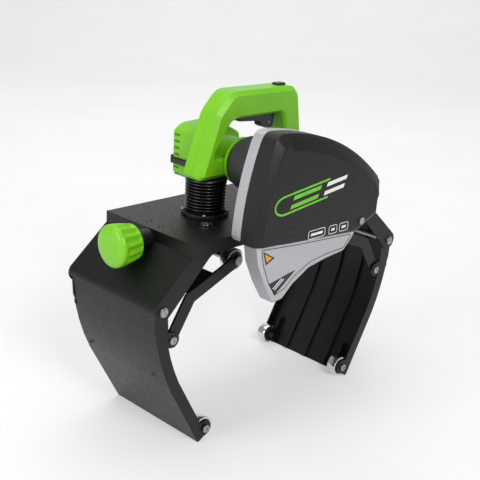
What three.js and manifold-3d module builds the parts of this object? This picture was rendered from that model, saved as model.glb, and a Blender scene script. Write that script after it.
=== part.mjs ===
// Pipe cutting saw: a black steel saddle with two hinged jaws clamps round a pipe on ball-bearing
// rollers, and a guarded circular saw head plunges into the pipe from above.
// Millimetres, +Z up, the saw blade on the -Y side, the jaws opening along X.
// The model is drawn with z = 0 at the jaw pivots and y = 0 on the saddle's front face, and its
// group then moves to put the origin at the bottom centre of the whole object.
import * as THREE from 'three';
import { mergeVertices } from 'three/addons/utils/BufferGeometryUtils.js';
import Module from 'manifold-3d';

const wasm = await Module();
wasm.setup();

// ---------- driving dimensions ----------
const fit = 0.3;                 // gap between pieces that touch or turn in each other
const slack = 0.6;               // gap beside pieces that swing past each other

// saddle
const pivotHalf = 265;           // jaw pivots from the middle plane
const deckTop = 88;              // above the jaw pivots
const shoulderRun = 57;          // jaw pivot to the deck's end
const deckDepth = 207.5;         // front face to rear face
const sheet = 3;                 // saddle and jaw sheet
const bandHeight = 18;           // upright edge under the deck's ends
const stripHeight = 19;          // front and rear flange under the deck
const kneeInset = 36;            // inner corner of a flange arm, in from the deck's end
const armEndRadius = 16;
const pinRadius = 5;
const boltHead = 7.5;
const boltHeadHeight = 2.6;

// clamping screw, knob and carriages
const screwHeight = 72;
const screwRadius = 7;
const knobRadius = 33;
const knobLength = 46;
const collarRadius = 15;
const linkReach = 153;           // carriage from the jaw pivot, with the jaws half open
const crossBarHeight = 42;
const crossBarRadius = 6;
const carriageWide = 24;
const carriageDeep = 32;
const wheelRadius = 17.5;        // 35 mm ball bearings carry the pipe
const wheelWide = 17;

// jaws and links
const jawAngleBoltX = 24;        // link bolt from the jaw pivot, inwards
const jawAngleBoltZ = 52.4;      // and below it
const tipRise = 10.6;            // tip roller bolt from the jaw's foot, up along the panel
const rollerGap = 1.5;           // tip roller to the panel's inner face
const jawBack = 11.6;            // jaw panel's outer face outside its pivot
const jawTop = 4;                // its top edge below the pivot, inside the saddle's roll
const jawStraightX = 22;         // where the bowed panel turns straight, inwards of the pivot
const jawStraightZ = 135;
const jawFootX = 82.4;           // foot's outer corner, inwards of the pivot
const jawFootZ = 244;
const jawFootFlat = 2;           // width of the flat that the jaw stands on
const jawFlange = 19;
const lugRadius = 12;
const beadWide = 9;
const beadHigh = 5;
const linkWide = 19;
const linkSheet = 4;
const linkKneeX = 59;            // the link's elbow from the jaw pivot, inwards
const linkKneeZ = 4;
const openPivotGap = 3.2;        // free play round the link bolt, where the loop is left open

// saw head
const hingeInset = 115;          // saw head hinge from the right jaw pivot
const hingeHeight = 115;
const hingePinRadius = 6;
const bladeX = -44;
const spindleHeight = 147;
const gearDistance = 30;         // motor shaft above the spindle
const gearModule = 1.5;
const pinionTeeth = 10;
const wheelTeeth = 30;
const gearBacklash = 0.35;
const bladeRadius = 90;
const bladeBore = 31;
const bladeY = -52;
const bladeThick = 1.8;
const flangeRadius = 35;
const guardBackY = -16;
const rimDepth = 18;
const coverFrontY = -71;
const guardWall = 3;
const coverBevel = 8;
const crownSlope = 24;           // the cover's wide slope under its arched top edge
const crownDepth = 13;           // and how far back it leans
const bladeRoom = 3.2;           // air between the blade and the guard's arch
const noseReach = 92;            // from the blade's edge to the guards' right end
const guardPivotReach = 37;      // lower guard's pivot from the blade's edge
const guardPivotDrop = 57;       // and below the spindle
const guardEyeRadius = 8.5;
const gearCaseRadius = 43;
const gearCaseRear = 72;
const statorRadius = 25;
const bearingRadius = 11;

// handle, motor housing and bellows
const handleFront = 79.5;
const handleDepth = 48;
const handleWall = 3.5;
const handleBevel = 7;
const handleBottom = 150;
const handleTop = 281;
const windowTop = 241;
const baseTop = 182;
const triggerThick = 16;
const housingRear = 189;
const housingTop = 222;
const bellowsUnder = 31;         // bellows' right side, in under the gear case's left side
const bellowsBehind = 3;         // bellows' front, behind the gear case's rear
const bellowsRadius = 33;
const bellowsRings = 9;
const bellowsGap = 1.2;          // air between the bellows and the saw head above it

// ---------- values that follow ----------
const midY = deckDepth / 2;
const bellowsX = bladeX - gearCaseRadius + bellowsUnder - bellowsRadius;
const bellowsY = gearCaseRear + bellowsBehind + bellowsRadius;
const housingBottom = 135;       // motor housing's lower edge, behind the bellows
const skirtFront = bellowsY + bellowsRadius + 2.5;
const deckHalf = pivotHalf - shoulderRun;
const carriageX = pivotHalf - linkReach;
const hingeX = pivotHalf - hingeInset;
const guardPivotX = bladeX + bladeRadius + guardPivotReach;
const guardPivotZ = spindleHeight - guardPivotDrop;
const deckUnder = deckTop - sheet;
const motorHeight = spindleHeight + gearDistance;
const bladeFront = bladeY - bladeThick / 2;
const bladeRear = bladeY + bladeThick / 2;
const handleRear = handleFront + handleDepth;
const handleMid = handleFront + handleDepth / 2;
const rimFront = guardBackY - rimDepth;
const panelWay = new THREE.Vector2(jawStraightX - jawFootX, jawFootZ - jawStraightZ).normalize();
const tipIn = sheet + wheelRadius + rollerGap;
const tipX = jawFootX + tipRise * panelWay.x + tipIn * panelWay.y;
const tipZ = jawFootZ - tipRise * panelWay.y + tipIn * panelWay.x;

// ---------- helpers ----------
function solid(geometry) {
  // A closed three.js mesh as a manifold solid, with its faces pointing out.
  const bare = geometry.index ? geometry.toNonIndexed() : geometry.clone();
  for (const key of Object.keys(bare.attributes)) if (key !== 'position') bare.deleteAttribute(key);
  const merged = mergeVertices(bare, 1e-3);
  const p = merged.attributes.position.array;
  const index = merged.index.array;
  const triangles = [];
  let volume = 0;
  for (let i = 0; i < index.length; i += 3) {
    const [a, b, c] = [index[i], index[i + 1], index[i + 2]];
    if (a === b || b === c || c === a) continue;
    triangles.push(a, b, c);
    const [A, B, C] = [a, b, c].map((k) => new THREE.Vector3(p[3 * k], p[3 * k + 1], p[3 * k + 2]));
    volume += A.dot(B.cross(C));
  }
  if (volume < 0) for (let i = 0; i < triangles.length; i += 3) {
    [triangles[i + 1], triangles[i + 2]] = [triangles[i + 2], triangles[i + 1]];
  }
  return new wasm.Manifold(new wasm.Mesh({
    numProp: 3,
    vertProperties: new Float32Array(p),
    triVerts: new Uint32Array(triangles),
  }));
}

function shapeOf(manifold) {
  const mesh = manifold.getMesh();
  const geometry = new THREE.BufferGeometry();
  geometry.setAttribute('position', new THREE.BufferAttribute(new Float32Array(mesh.vertProperties), 3));
  geometry.setIndex(new THREE.BufferAttribute(new Uint32Array(mesh.triVerts), 1));
  geometry.computeVertexNormals();
  return geometry;
}

function join(...solids) {
  return solids.reduce((a, b) => a.add(b));
}

function cut(body, ...tools) {
  return tools.reduce((a, b) => a.subtract(b), body);
}

function block(x0, x1, y0, y1, z0, z1) {
  const box = new THREE.BoxGeometry(x1 - x0, y1 - y0, z1 - z0);
  box.translate((x0 + x1) / 2, (y0 + y1) / 2, (z0 + z1) / 2);
  return solid(box);
}

function prism(outline, y0, y1) {
  // An outline of [x, z] corners, filled from y0 to y1.
  const shape = new THREE.Shape(outline.map(([x, z]) => new THREE.Vector2(x, z)));
  const geometry = new THREE.ExtrudeGeometry(shape, { depth: y1 - y0, bevelEnabled: false });
  geometry.rotateX(Math.PI / 2);
  geometry.translate(0, y1, 0);
  return solid(geometry);
}

function loft(sections) {
  // Outlines of [x, z] corners with as many corners each, at rising y, joined corner to corner.
  const count = sections[0].outline.length;
  const positions = sections.flatMap(({ outline, y }) => outline.flatMap(([x, z]) => [x, y, z]));
  const faces = [];
  for (let s = 0; s + 1 < sections.length; s++) {
    for (let i = 0; i < count; i++) {
      const j = (i + 1) % count;
      const [a, b, c, d] = [s * count + i, s * count + j, (s + 1) * count + j, (s + 1) * count + i];
      faces.push(a, b, c, a, c, d);
    }
  }
  const flat = sections[0].outline.map(([x, z]) => new THREE.Vector2(x, z));
  const ring = THREE.ShapeUtils.isClockWise(flat) ? -1 : 1;
  const cap = THREE.ShapeUtils.triangulateShape(ring < 0 ? flat.slice().reverse() : flat, []);
  const corner = (k) => (ring < 0 ? count - 1 - k : k);
  const last = (sections.length - 1) * count;
  for (const [a, b, c] of cap) {
    const [p, q, r] = ring < 0 ? [corner(c), corner(b), corner(a)] : [a, b, c];
    faces.push(p, r, q, last + p, last + q, last + r);
  }
  const geometry = new THREE.BufferGeometry();
  geometry.setAttribute('position', new THREE.Float32BufferAttribute(positions, 3));
  geometry.setIndex(faces);
  return solid(geometry);
}

function turned(axis, profile, centre, segments = 20) {
  // A closed or axis-to-axis profile of [radius, distance along axis] turned about the axis.
  const points = profile.map(([r, t]) => new THREE.Vector2(r, t));
  const geometry = new THREE.LatheGeometry(points, segments);
  if (axis === 'x') geometry.rotateZ(-Math.PI / 2);
  if (axis === 'z') geometry.rotateX(Math.PI / 2);
  geometry.translate(...centre);
  return solid(geometry);
}

function rod(axis, radius, from, to, centre, segments = 20) {
  return turned(axis, [[0, from], [radius, from], [radius, to], [0, to]], centre, segments);
}

function ring(axis, outer, inner, from, to, centre, segments = 20) {
  const profile = [[inner, from], [outer, from], [outer, to], [inner, to], [inner, from]];
  return turned(axis, profile, centre, segments);
}

function bar(from, to, halfWidth, y0, y1, steps = 6) {
  // A flat bar with round ends between two points [x, z].
  const angle = Math.atan2(to[1] - from[1], to[0] - from[0]);
  const outline = [];
  for (let i = 0; i <= steps; i++) {
    const a = angle + Math.PI / 2 + (Math.PI * i) / steps;
    outline.push([from[0] + halfWidth * Math.cos(a), from[1] + halfWidth * Math.sin(a)]);
  }
  for (let i = 0; i <= steps; i++) {
    const a = angle - Math.PI / 2 + (Math.PI * i) / steps;
    outline.push([to[0] + halfWidth * Math.cos(a), to[1] + halfWidth * Math.sin(a)]);
  }
  return prism(outline, y0, y1);
}

function rounded(corners, step = 0.45) {
  // Corners [x, z, radius] with their radii drawn as arcs.
  const outline = [];
  corners.forEach(([x, z, radius = 0], i) => {
    const before = corners[(i + corners.length - 1) % corners.length];
    const after = corners[(i + 1) % corners.length];
    const u = new THREE.Vector2(before[0] - x, before[1] - z).normalize();
    const v = new THREE.Vector2(after[0] - x, after[1] - z).normalize();
    const opening = Math.acos(THREE.MathUtils.clamp(u.dot(v), -1, 1));
    if (radius === 0 || Math.PI - opening < 0.02) {
      outline.push([x, z]);
      return;
    }
    const reach = radius / Math.tan(opening / 2);
    const hub = u.clone().add(v).normalize().multiplyScalar(radius / Math.sin(opening / 2));
    const start = Math.atan2(u.y * reach - hub.y, u.x * reach - hub.x);
    const end = Math.atan2(v.y * reach - hub.y, v.x * reach - hub.x);
    const sweep = THREE.MathUtils.euclideanModulo(end - start + Math.PI, 2 * Math.PI) - Math.PI;
    const pieces = Math.max(1, Math.round(Math.abs(sweep) / step));
    for (let k = 0; k <= pieces; k++) {
      const a = start + (sweep * k) / pieces;
      outline.push([x + hub.x + radius * Math.cos(a), z + hub.y + radius * Math.sin(a)]);
    }
  });
  return outline;
}

function bow(from, to, rise, pieces) {
  // Points between two corners on a gentle arch that rises to the left of the way from one to the other.
  const [dx, dz] = [to[0] - from[0], to[1] - from[1]];
  const length = Math.hypot(dx, dz);
  return Array.from({ length: pieces - 1 }, (_, k) => {
    const t = (k + 1) / pieces;
    const lift = (4 * rise * t * (1 - t)) / length;
    return [from[0] + dx * t - dz * lift, from[1] + dz * t + dx * lift];
  });
}

function inset(corners, distance) {
  // Corners [x, z, radius] moved inwards by the distance; their radii shrink with them.
  const flat = corners.map(([x, z]) => new THREE.Vector2(x, z));
  const side = THREE.ShapeUtils.isClockWise(flat) ? -1 : 1;
  return corners.map(([x, z, radius = 0], i) => {
    const [px, pz] = corners[(i + corners.length - 1) % corners.length];
    const [nx, nz] = corners[(i + 1) % corners.length];
    const a = new THREE.Vector2(-(z - pz), x - px).normalize();
    const b = new THREE.Vector2(-(nz - z), nx - x).normalize();
    const k = (side * distance) / (1 + a.dot(b));
    return [x + (a.x + b.x) * k, z + (a.y + b.y) * k, radius && Math.max(radius - distance, 0.6)];
  });
}

function mirrored(outline, side) {
  // Outlines are drawn for the left side (side -1); the right one is its mirror image.
  return outline.map(([x, z, ...rest]) => [-side * x, z, ...rest]);
}

const model = new THREE.Group();

function paint(color, roughness, metalness) {
  return new THREE.MeshStandardMaterial({ color, roughness, metalness });
}
const blackSteel = () => paint(0x1f2021, 0.55, 0.2);
const brightSteel = () => paint(0xc4c6c8, 0.3, 1);
const zincSteel = () => paint(0xa9acae, 0.4, 1);
const greenPlastic = () => paint(0x7fd42b, 0.42, 0);
const blackPlastic = () => paint(0x26272a, 0.5, 0);
const blackRubber = () => paint(0x101011, 0.35, 0);
const greyCasting = () => paint(0x5b5c5f, 0.5, 0.3);
const silverPaint = () => paint(0xb5b5b8, 0.4, 0.4);

function add(name, body, material, position = [0, 0, 0], parent = model) {
  const mesh = new THREE.Mesh(shapeOf(body), material);
  mesh.name = name;
  mesh.position.set(...position);
  parent.add(mesh);
}

// ---------- saddle ----------
const shoulder = new THREE.Vector2(pivotHalf - deckHalf, deckTop - bandHeight);
const shoulderReach = shoulder.length();
const shoulderTouch = shoulder.angle() + Math.acos(armEndRadius / shoulderReach);

function saddleOutline(side) {
  // Half of a saddle end as seen from the front: band, slope, round arm end and back to the knee.
  const hub = [-pivotHalf, 0];
  const knee = [-(deckHalf - kneeInset), deckTop - stripHeight];
  const kneeWay = new THREE.Vector2(knee[0] - hub[0], knee[1] - hub[1]);
  const kneeTouch = kneeWay.angle() - Math.acos(armEndRadius / kneeWay.length());
  const arc = [];
  const turn = 2 * Math.PI + kneeTouch - shoulderTouch;
  for (let i = 0; i <= 8; i++) {
    const a = shoulderTouch + (turn * i) / 8;
    arc.push([hub[0] + armEndRadius * Math.cos(a), hub[1] + armEndRadius * Math.sin(a)]);
  }
  return mirrored([[-deckHalf, deckTop], [-deckHalf, deckTop - bandHeight], ...arc, [...knee, 20]], side);
}

function saddleSheetOutline(thickness) {
  // Section of the bent sheet: deck, bands, slopes and the roll over each pivot.
  const left = (r, drop, inwards) => {
    const points = [[-deckHalf + inwards, deckTop - drop], [-deckHalf + inwards, deckTop - bandHeight - drop / 3]];
    for (let i = 0; i <= 6; i++) {
      const a = shoulderTouch + ((Math.PI * 1.06 - shoulderTouch) * i) / 6;
      points.push([-pivotHalf + r * Math.cos(a), r * Math.sin(a)]);
    }
    return points;
  };
  const outer = left(armEndRadius, 0, 0);
  const inner = left(armEndRadius - thickness, thickness, thickness).reverse();
  const right = (points) => points.map(([x, z]) => [-x, z]);
  return [...outer, ...inner, ...right(inner).reverse(), ...right(outer).reverse()];
}

function frameShell() {
  const left = saddleOutline(-1);
  const right = saddleOutline(1).reverse();
  const flange = rounded([...left, ...right]);
  const sheetBody = prism(saddleSheetOutline(sheet), 0, deckDepth);
  let body = join(sheetBody, prism(flange, 0, sheet), prism(flange, deckDepth - sheet, deckDepth));
  for (const side of [-1, 1]) {
    body = cut(body, rod('y', pinRadius + fit, -1, deckDepth + 1, [side * pivotHalf, 0, 0], 12));
  }
  const through = rod('x', screwRadius + fit, -deckHalf - 12, -deckHalf + 12, [0, midY, screwHeight], 12);
  const holes = [0, 1].flatMap((row) => [0, 1].map((column) => rod('z', 2, deckUnder - 1, deckTop + 1,
    [-deckHalf + 15 + 8 * column, midY - 6 + 28 * row, 0], 10)));
  return cut(body, through, ...holes);
}
add('frame_shell', frameShell(), blackSteel());

function pivotPin() {
  const overhang = boltHeadHeight + fit;
  return join(
    rod('y', pinRadius, -overhang, deckDepth + overhang, [0, 0, 0], 12),
    rod('y', boltHead, -overhang, -fit, [0, 0, 0], 12),
    rod('y', boltHead, deckDepth + fit, deckDepth + overhang, [0, 0, 0], 12));
}
add('left_pivot_pin', pivotPin(), zincSteel(), [-pivotHalf, 0, 0]);
add('right_pivot_pin', pivotPin(), zincSteel(), [pivotHalf, 0, 0]);

// ---------- clamping screw ----------
const knobHip = 0.86;                    // knob's share of its radius near its inner face
const knobHipBack = 5;                   // how far from that face
const slopeRise = Math.tan(shoulderTouch - Math.PI / 2);
const knobRoom = knobHip * knobRadius + fit - (screwHeight - deckTop + bandHeight);
const knobNeck = knobRoom / slopeRise - knobHipBack;   // bearing collar that keeps the knob off the slope
const screwEnd = deckHalf - 28;          // where the screw's far end turns in its bearing
const knobInner = -deckHalf - knobNeck;  // the knob's face towards the saddle
const screwTail = 14;

function kneeSlope(offset) {
  // Everything under the shoulder's slope, lifted square to it by the offset.
  const foot = [-pivotHalf + armEndRadius * Math.cos(shoulderTouch), armEndRadius * Math.sin(shoulderTouch)];
  const head = [-deckHalf, deckTop - bandHeight];
  const n = new THREE.Vector2(-(head[1] - foot[1]), head[0] - foot[0]).normalize().multiplyScalar(offset);
  const a = [foot[0] + n.x, foot[1] + n.y];
  const b = [head[0] + n.x, head[1] + n.y];
  return prism([a, b, [b[0] + 40, b[1]], [b[0] + 40, a[1] - 60], [a[0], a[1] - 60]], -1, deckDepth + 1);
}

function knobCollar() {
  const reach = -deckHalf - fit;
  const tube = ring('x', collarRadius, screwRadius + fit, knobInner + fit, reach,
    [0, midY, screwHeight], 20);
  return cut(tube, kneeSlope(fit));
}
add('knob_collar', knobCollar(), blackSteel());

function screwBearing() {
  const [x0, x1] = [screwEnd - screwTail, screwEnd + 4];
  const body = block(x0, x1, midY - 16, midY + 16, screwHeight - 14, deckUnder - fit);
  const seat = rod('x', screwRadius + fit, x0 - 1, screwEnd + fit, [0, midY, screwHeight], 12);
  return cut(body, seat);
}
add('screw_end_bearing', screwBearing(), blackSteel());

function adjustScrew() {
  return rod('x', screwRadius, knobInner - knobLength / 2, screwEnd, [0, midY, screwHeight], 12);
}
add('adjust_screw', adjustScrew(), zincSteel());

function adjustKnob() {
  // Tapered towards the collar, crowned at the outer face, scalloped for the fingers.
  const tip = knobInner - knobLength;
  const profile = [[0, tip], [0.62 * knobRadius, tip + 0.8], [0.86 * knobRadius, tip + 4],
    [0.97 * knobRadius, tip + 10], [knobRadius, tip + 18], [0.97 * knobRadius, knobInner - 12],
    [knobHip * knobRadius, knobInner - knobHipBack], [0.64 * knobRadius, knobInner], [0, knobInner]];
  let body = turned('x', profile, [0, midY, screwHeight], 24);
  const scallops = 10;
  for (let i = 0; i < scallops; i++) {
    const a = ((i + 0.5) * 2 * Math.PI) / scallops;
    const away = knobRadius + 3;
    body = body.subtract(rod('x', 5, tip + 14, knobInner + 1,
      [0, midY + away * Math.cos(a), screwHeight + away * Math.sin(a)], 8));
  }
  return cut(body, rod('x', screwRadius + fit, knobInner - knobLength / 2 - fit, knobInner + 1,
    [0, midY, screwHeight], 12));
}
add('adjust_knob', adjustKnob(), greenPlastic());

// ---------- jaws, links, carriages: drawn for the left side, mirrored for the right ----------
const jawFront = sheet + slack;                  // front jaw flange, just inside the saddle's
const jawRear = deckDepth - sheet - slack;
const linkFront = jawFront + sheet + slack;
const linkRear = jawRear - sheet - slack;
const rollerFront = jawFront + sheet + slack;
const yokeFront = rollerFront + wheelWide + slack;

function jawPanelOutline(outside, inside) {
  // Section of the bowed panel between two depths measured inwards from its outer face.
  const top = [-pivotHalf - jawBack, -jawTop];
  const bend = [-pivotHalf + jawStraightX, -jawStraightZ];
  const spare = -jawFootFlat * panelWay.x * panelWay.y;   // runs past the foot, so that capped() leaves a flat
  const foot = [-pivotHalf + jawFootX - panelWay.x * spare / panelWay.y, -jawFootZ - spare];
  const rise = 7;
  const face = [top, ...bow(top, bend, -rise, 5), bend, foot];
  const shifted = (d) => face.map(([x, z], i) => {
    const [ax, az] = face[Math.max(0, i - 1)];
    const [bx, bz] = face[Math.min(face.length - 1, i + 1)];
    const n = new THREE.Vector2(-(bz - az), bx - ax).normalize();
    return [x + n.x * d, z + n.y * d];
  });
  return [...shifted(outside), ...shifted(inside).reverse()];
}

function capped(body) {
  // The jaw stands flat: nothing of it lies below its foot.
  return cut(body, block(-400, 400, -1, deckDepth + 1, -jawFootZ - 60, -jawFootZ));
}

function jaw(side) {
  const tip = [-pivotHalf + tipX, -tipZ];
  const lug = [-pivotHalf + jawAngleBoltX, -jawAngleBoltZ];
  const m = (outline) => mirrored(outline, side);
  const flange = (y0, y1) => join(
    prism(m(jawPanelOutline(0, jawFlange)), y0, y1),
    bar(...m([[-pivotHalf, 0], [-pivotHalf + 2, -34]]), armEndRadius - sheet - slack, y0, y1),
    bar(...m([[-pivotHalf + 4, jawAngleBoltZ * -0.9], lug]), lugRadius, y0, y1),
    bar(...m([[-pivotHalf + tipX - 12, -tipZ - 3], tip]), lugRadius + 1, y0, y1));
  const yoke = (y0, y1) => join(
    bar(...m([[-pivotHalf + tipX - 18, -tipZ - 2], tip]), lugRadius, y0, y1),
    prism(m(jawPanelOutline(1, jawFlange - 4)), y0, y1)
      .intersect(block(-400, 400, y0 - 1, y1 + 1, -400, -tipZ + 28)));
  let body = join(
    prism(m(jawPanelOutline(0, sheet)), jawFront, jawRear),
    flange(jawFront, jawFront + sheet), flange(jawRear - sheet, jawRear));
  for (const share of [0.27, 0.5, 0.73]) {
    const y = jawFront + share * (jawRear - jawFront);
    body = body.add(prism(m(jawPanelOutline(sheet - 0.5, sheet + beadHigh)), y - beadWide / 2, y + beadWide / 2));
  }
  body = join(body, yoke(yokeFront, yokeFront + sheet),
    yoke(deckDepth - yokeFront - sheet, deckDepth - yokeFront));
  const hole = (radius, [x, z]) => rod('y', radius + fit, -1, deckDepth + 1, [-side * x, 0, z], 12);
  const outside = prism(m(jawPanelOutline(-lugRadius, 0)), -1, deckDepth + 1)
    .intersect(block(-400, 400, -2, deckDepth + 2, -jawFootZ - 60, -jawStraightZ / 2));
  return capped(cut(body, outside, hole(pinRadius, [-pivotHalf, 0]), hole(pinRadius, lug), hole(pinRadius, tip)));
}

function linkFrame(side) {
  const m = (outline) => mirrored(outline, side);
  const head = [-carriageX, crossBarHeight];
  const knee = [-pivotHalf + linkKneeX, linkKneeZ];
  const tail = [-pivotHalf + jawAngleBoltX, -jawAngleBoltZ];
  const along = (t) => [head[0] + (knee[0] - head[0]) * t, head[1] + (knee[1] - head[1]) * t];
  const arm = (y0, y1) => join(
    bar(...m([head, knee]), linkWide / 2, y0, y1),
    bar(...m([knee, tail]), linkWide / 2 + 1, y0, y1));
  const web = bar(...m([along(0.42), along(0.92)]), linkSheet / 2, linkFront, linkRear, 4);
  const body = join(arm(linkFront, linkFront + linkSheet), arm(linkRear - linkSheet, linkRear), web);
  return cut(body,
    rod('y', crossBarRadius + fit, -1, deckDepth + 1, [-side * head[0], 0, head[1]], 12),
    rod('y', pinRadius + openPivotGap, -1, deckDepth + 1, [-side * tail[0], 0, tail[1]], 12));
}

function carriage(side) {
  // Nut block on the screw with the cross bar that the wheels and the link turn on.
  const x = side * carriageX;
  const centre = [x, 0, crossBarHeight];
  const washer = wheelWide + slack;
  const wheelFront = linkFront + linkSheet + slack;
  const inner = wheelFront + washer;
  const nut = block(x - carriageWide / 2, x + carriageWide / 2, midY - carriageDeep / 2,
    midY + carriageDeep / 2, crossBarHeight - 9, deckUnder - 1);
  const headFront = linkFront - slack;
  return cut(join(nut,
    rod('y', crossBarRadius, headFront, deckDepth - headFront, centre, 12),
    rod('y', boltHead, headFront - boltHeadHeight, headFront, centre, 12),
    rod('y', boltHead, deckDepth - headFront, deckDepth - headFront + boltHeadHeight, centre, 12),
    rod('y', 9, inner, inner + 3, centre, 12),
    rod('y', 9, deckDepth - inner - 3, deckDepth - inner, centre, 12)),
  rod('x', screwRadius + fit, x - carriageWide, x + carriageWide, [0, midY, screwHeight], 12));
}

function bearingWheel() {
  // A sealed ball bearing drawn as one turned body, centred on its own axis.
  const h = wheelWide / 2;
  const bore = crossBarRadius + fit;
  const profile = [[bore, -h], [wheelRadius - 0.8, -h], [wheelRadius, -h + 0.8],
    [wheelRadius, h - 0.8], [wheelRadius - 0.8, h], [bore, h], [bore, -h]];
  return turned('y', profile, [0, 0, 0], 20);
}

function tipAxle() {
  const reach = yokeFront + sheet - jawFront + 1.5;
  return join(
    rod('y', pinRadius, -fit - 2, reach, [0, 0, 0], 12),
    rod('y', crossBarRadius, rollerFront - jawFront, rollerFront - jawFront + wheelWide, [0, 0, 0], 12));
}

function linkBolt() {
  // Shoulder bolt through the jaw flange into the link.
  return join(
    rod('y', pinRadius, -fit, linkFront - jawFront + linkSheet + 2, [0, 0, 0], 12),
    rod('y', boltHead, linkFront - jawFront + linkSheet + fit, linkFront - jawFront + linkSheet + 2.5, [0, 0, 0], 12));
}

for (const [label, side] of [['left', -1], ['right', 1]]) {
  add(`${label}_nut_carriage`, carriage(side), zincSteel());
  add(`${label}_link_frame`, linkFrame(side), blackSteel());
  add(`${label}_jaw`, jaw(side), blackSteel());
  const tip = [side * (pivotHalf - tipX), -tipZ];
  const lug = [side * (pivotHalf - jawAngleBoltX), -jawAngleBoltZ];
  for (const [end, turn, face] of [['front', 0, 0], ['rear', Math.PI, deckDepth]]) {
    const station = new THREE.Group();
    station.position.y = face;
    station.rotation.z = turn;
    model.add(station);
    const local = (x) => (turn ? -x : x);
    add(`${label}_${end}_tip_axle`, tipAxle(), zincSteel(), [local(tip[0]), jawFront, tip[1]], station);
    add(`${label}_${end}_tip_roller`, bearingWheel(), brightSteel(),
      [local(tip[0]), rollerFront + wheelWide / 2, tip[1]], station);
    add(`${label}_${end}_link_bolt`, linkBolt(), zincSteel(), [local(lug[0]), jawFront, lug[1]], station);
    add(`${label}_${end}_wheel`, bearingWheel(), brightSteel(),
      [local(side * carriageX), linkFront + linkSheet + slack + wheelWide / 2, crossBarHeight], station);
  }
}

// ---------- saw head: hinge ----------
const earInner = 20;                     // hinge ears from the middle of the handle
const earThick = 8;
function hingeBracket() {
  const ear = (y0, y1) => prism(rounded([[hingeX - 22, deckTop + fit], [hingeX + 22, deckTop + fit],
    [hingeX + 14, hingeHeight + 13, 12], [hingeX - 14, hingeHeight + 13, 12]]), y0, y1);
  const foot = block(hingeX - 32, hingeX + 32, handleMid - earInner - earThick - 12,
    handleMid + earInner + earThick + 12, deckTop + fit, deckTop + 5);
  const body = join(foot, ear(handleMid - earInner - earThick, handleMid - earInner),
    ear(handleMid + earInner, handleMid + earInner + earThick));
  return cut(body, rod('y', hingePinRadius + fit, 0, deckDepth, [hingeX, 0, hingeHeight], 12));
}
add('hinge_bracket', hingeBracket(), blackSteel());

function hingePin() {
  const half = earInner + earThick + 3;
  return join(rod('y', hingePinRadius, -half, half, [0, 0, 0], 12),
    rod('y', hingePinRadius + 3, -half - 3, -half, [0, 0, 0], 12));
}
add('hinge_pin', hingePin(), zincSteel(), [hingeX, handleMid, hingeHeight]);

// ---------- bellows, spring and its base ----------
const bellowsTop = handleBottom - bellowsGap;
const bellowsBottom = deckTop + 6;
function bellowsBase() {
  const body = join(
    ring('z', bellowsRadius + 5, bellowsRadius - 12, deckTop + fit, bellowsBottom - fit, [0, 0, 0], 24),
    rod('z', bellowsRadius - 10, deckTop + fit, deckTop + 3, [0, 0, 0], 24),
    rod('z', 5, deckTop + 2, deckTop + 22, [0, 0, 0], 20));
  return body;
}
add('bellows_base', bellowsBase(), blackPlastic(), [bellowsX, bellowsY, 0]);

function bellows() {
  const outer = [];
  const pitch = (bellowsTop - bellowsBottom) / bellowsRings;
  for (let i = 0; i < bellowsRings; i++) {
    const z = bellowsBottom + i * pitch;
    outer.push([bellowsRadius - 3.5, z], [bellowsRadius, z + pitch / 2]);
  }
  outer.push([bellowsRadius - 3.5, bellowsTop]);
  const bore = bellowsRadius - 5.5;
  return turned('z', [...outer, [bore, bellowsTop], [bore, bellowsBottom], outer[0]], [0, 0, 0], 20);
}
add('bellows', bellows(), blackRubber(), [bellowsX, bellowsY, 0]);

function returnSpring() {
  // The coil's envelope, a plain sleeve over the guide post.
  return ring('z', 11, 8, deckTop + 3 + fit, bellowsTop - fit, [0, 0, 0], 12);
}
add('return_spring', returnSpring(), zincSteel(), [bellowsX, bellowsY, 0]);

// ---------- handle and base ----------
function handleCorners() {
  return [[-130, handleBottom, 6], [hingeX - 46, handleBottom, 4], [hingeX - 50, 196, 10],
    [88, handleTop - 12, 14], [74, handleTop, 12], [-64, handleTop + 2, 26], [-94, 252, 20]];
}
function windowCorners() {
  return [[-104, baseTop, 6], [66, baseTop, 8], [49, windowTop, 8], [-63, windowTop, 26]];
}
const barrelHole = () => rod('y', statorRadius + 6 + fit, handleFront - 1, handleRear + 1,
  [bladeX, 0, motorHeight], 28);

function handleBody() {
  const corners = handleCorners();
  const window = windowCorners();
  const body = loft([
    { outline: rounded(inset(corners, handleBevel)), y: handleFront },
    { outline: rounded(corners), y: handleFront + handleBevel },
    { outline: rounded(corners), y: handleRear - handleBevel },
    { outline: rounded(inset(corners, handleBevel)), y: handleRear },
  ]);
  const opening = loft([
    { outline: rounded(inset(window, -6)), y: handleFront - 2 },
    { outline: rounded(window), y: handleFront + 4 },
    { outline: rounded(window), y: handleRear - 4 },
    { outline: rounded(inset(window, -6)), y: handleRear + 2 },
  ]);
  return cut(body, opening);
}

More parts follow.
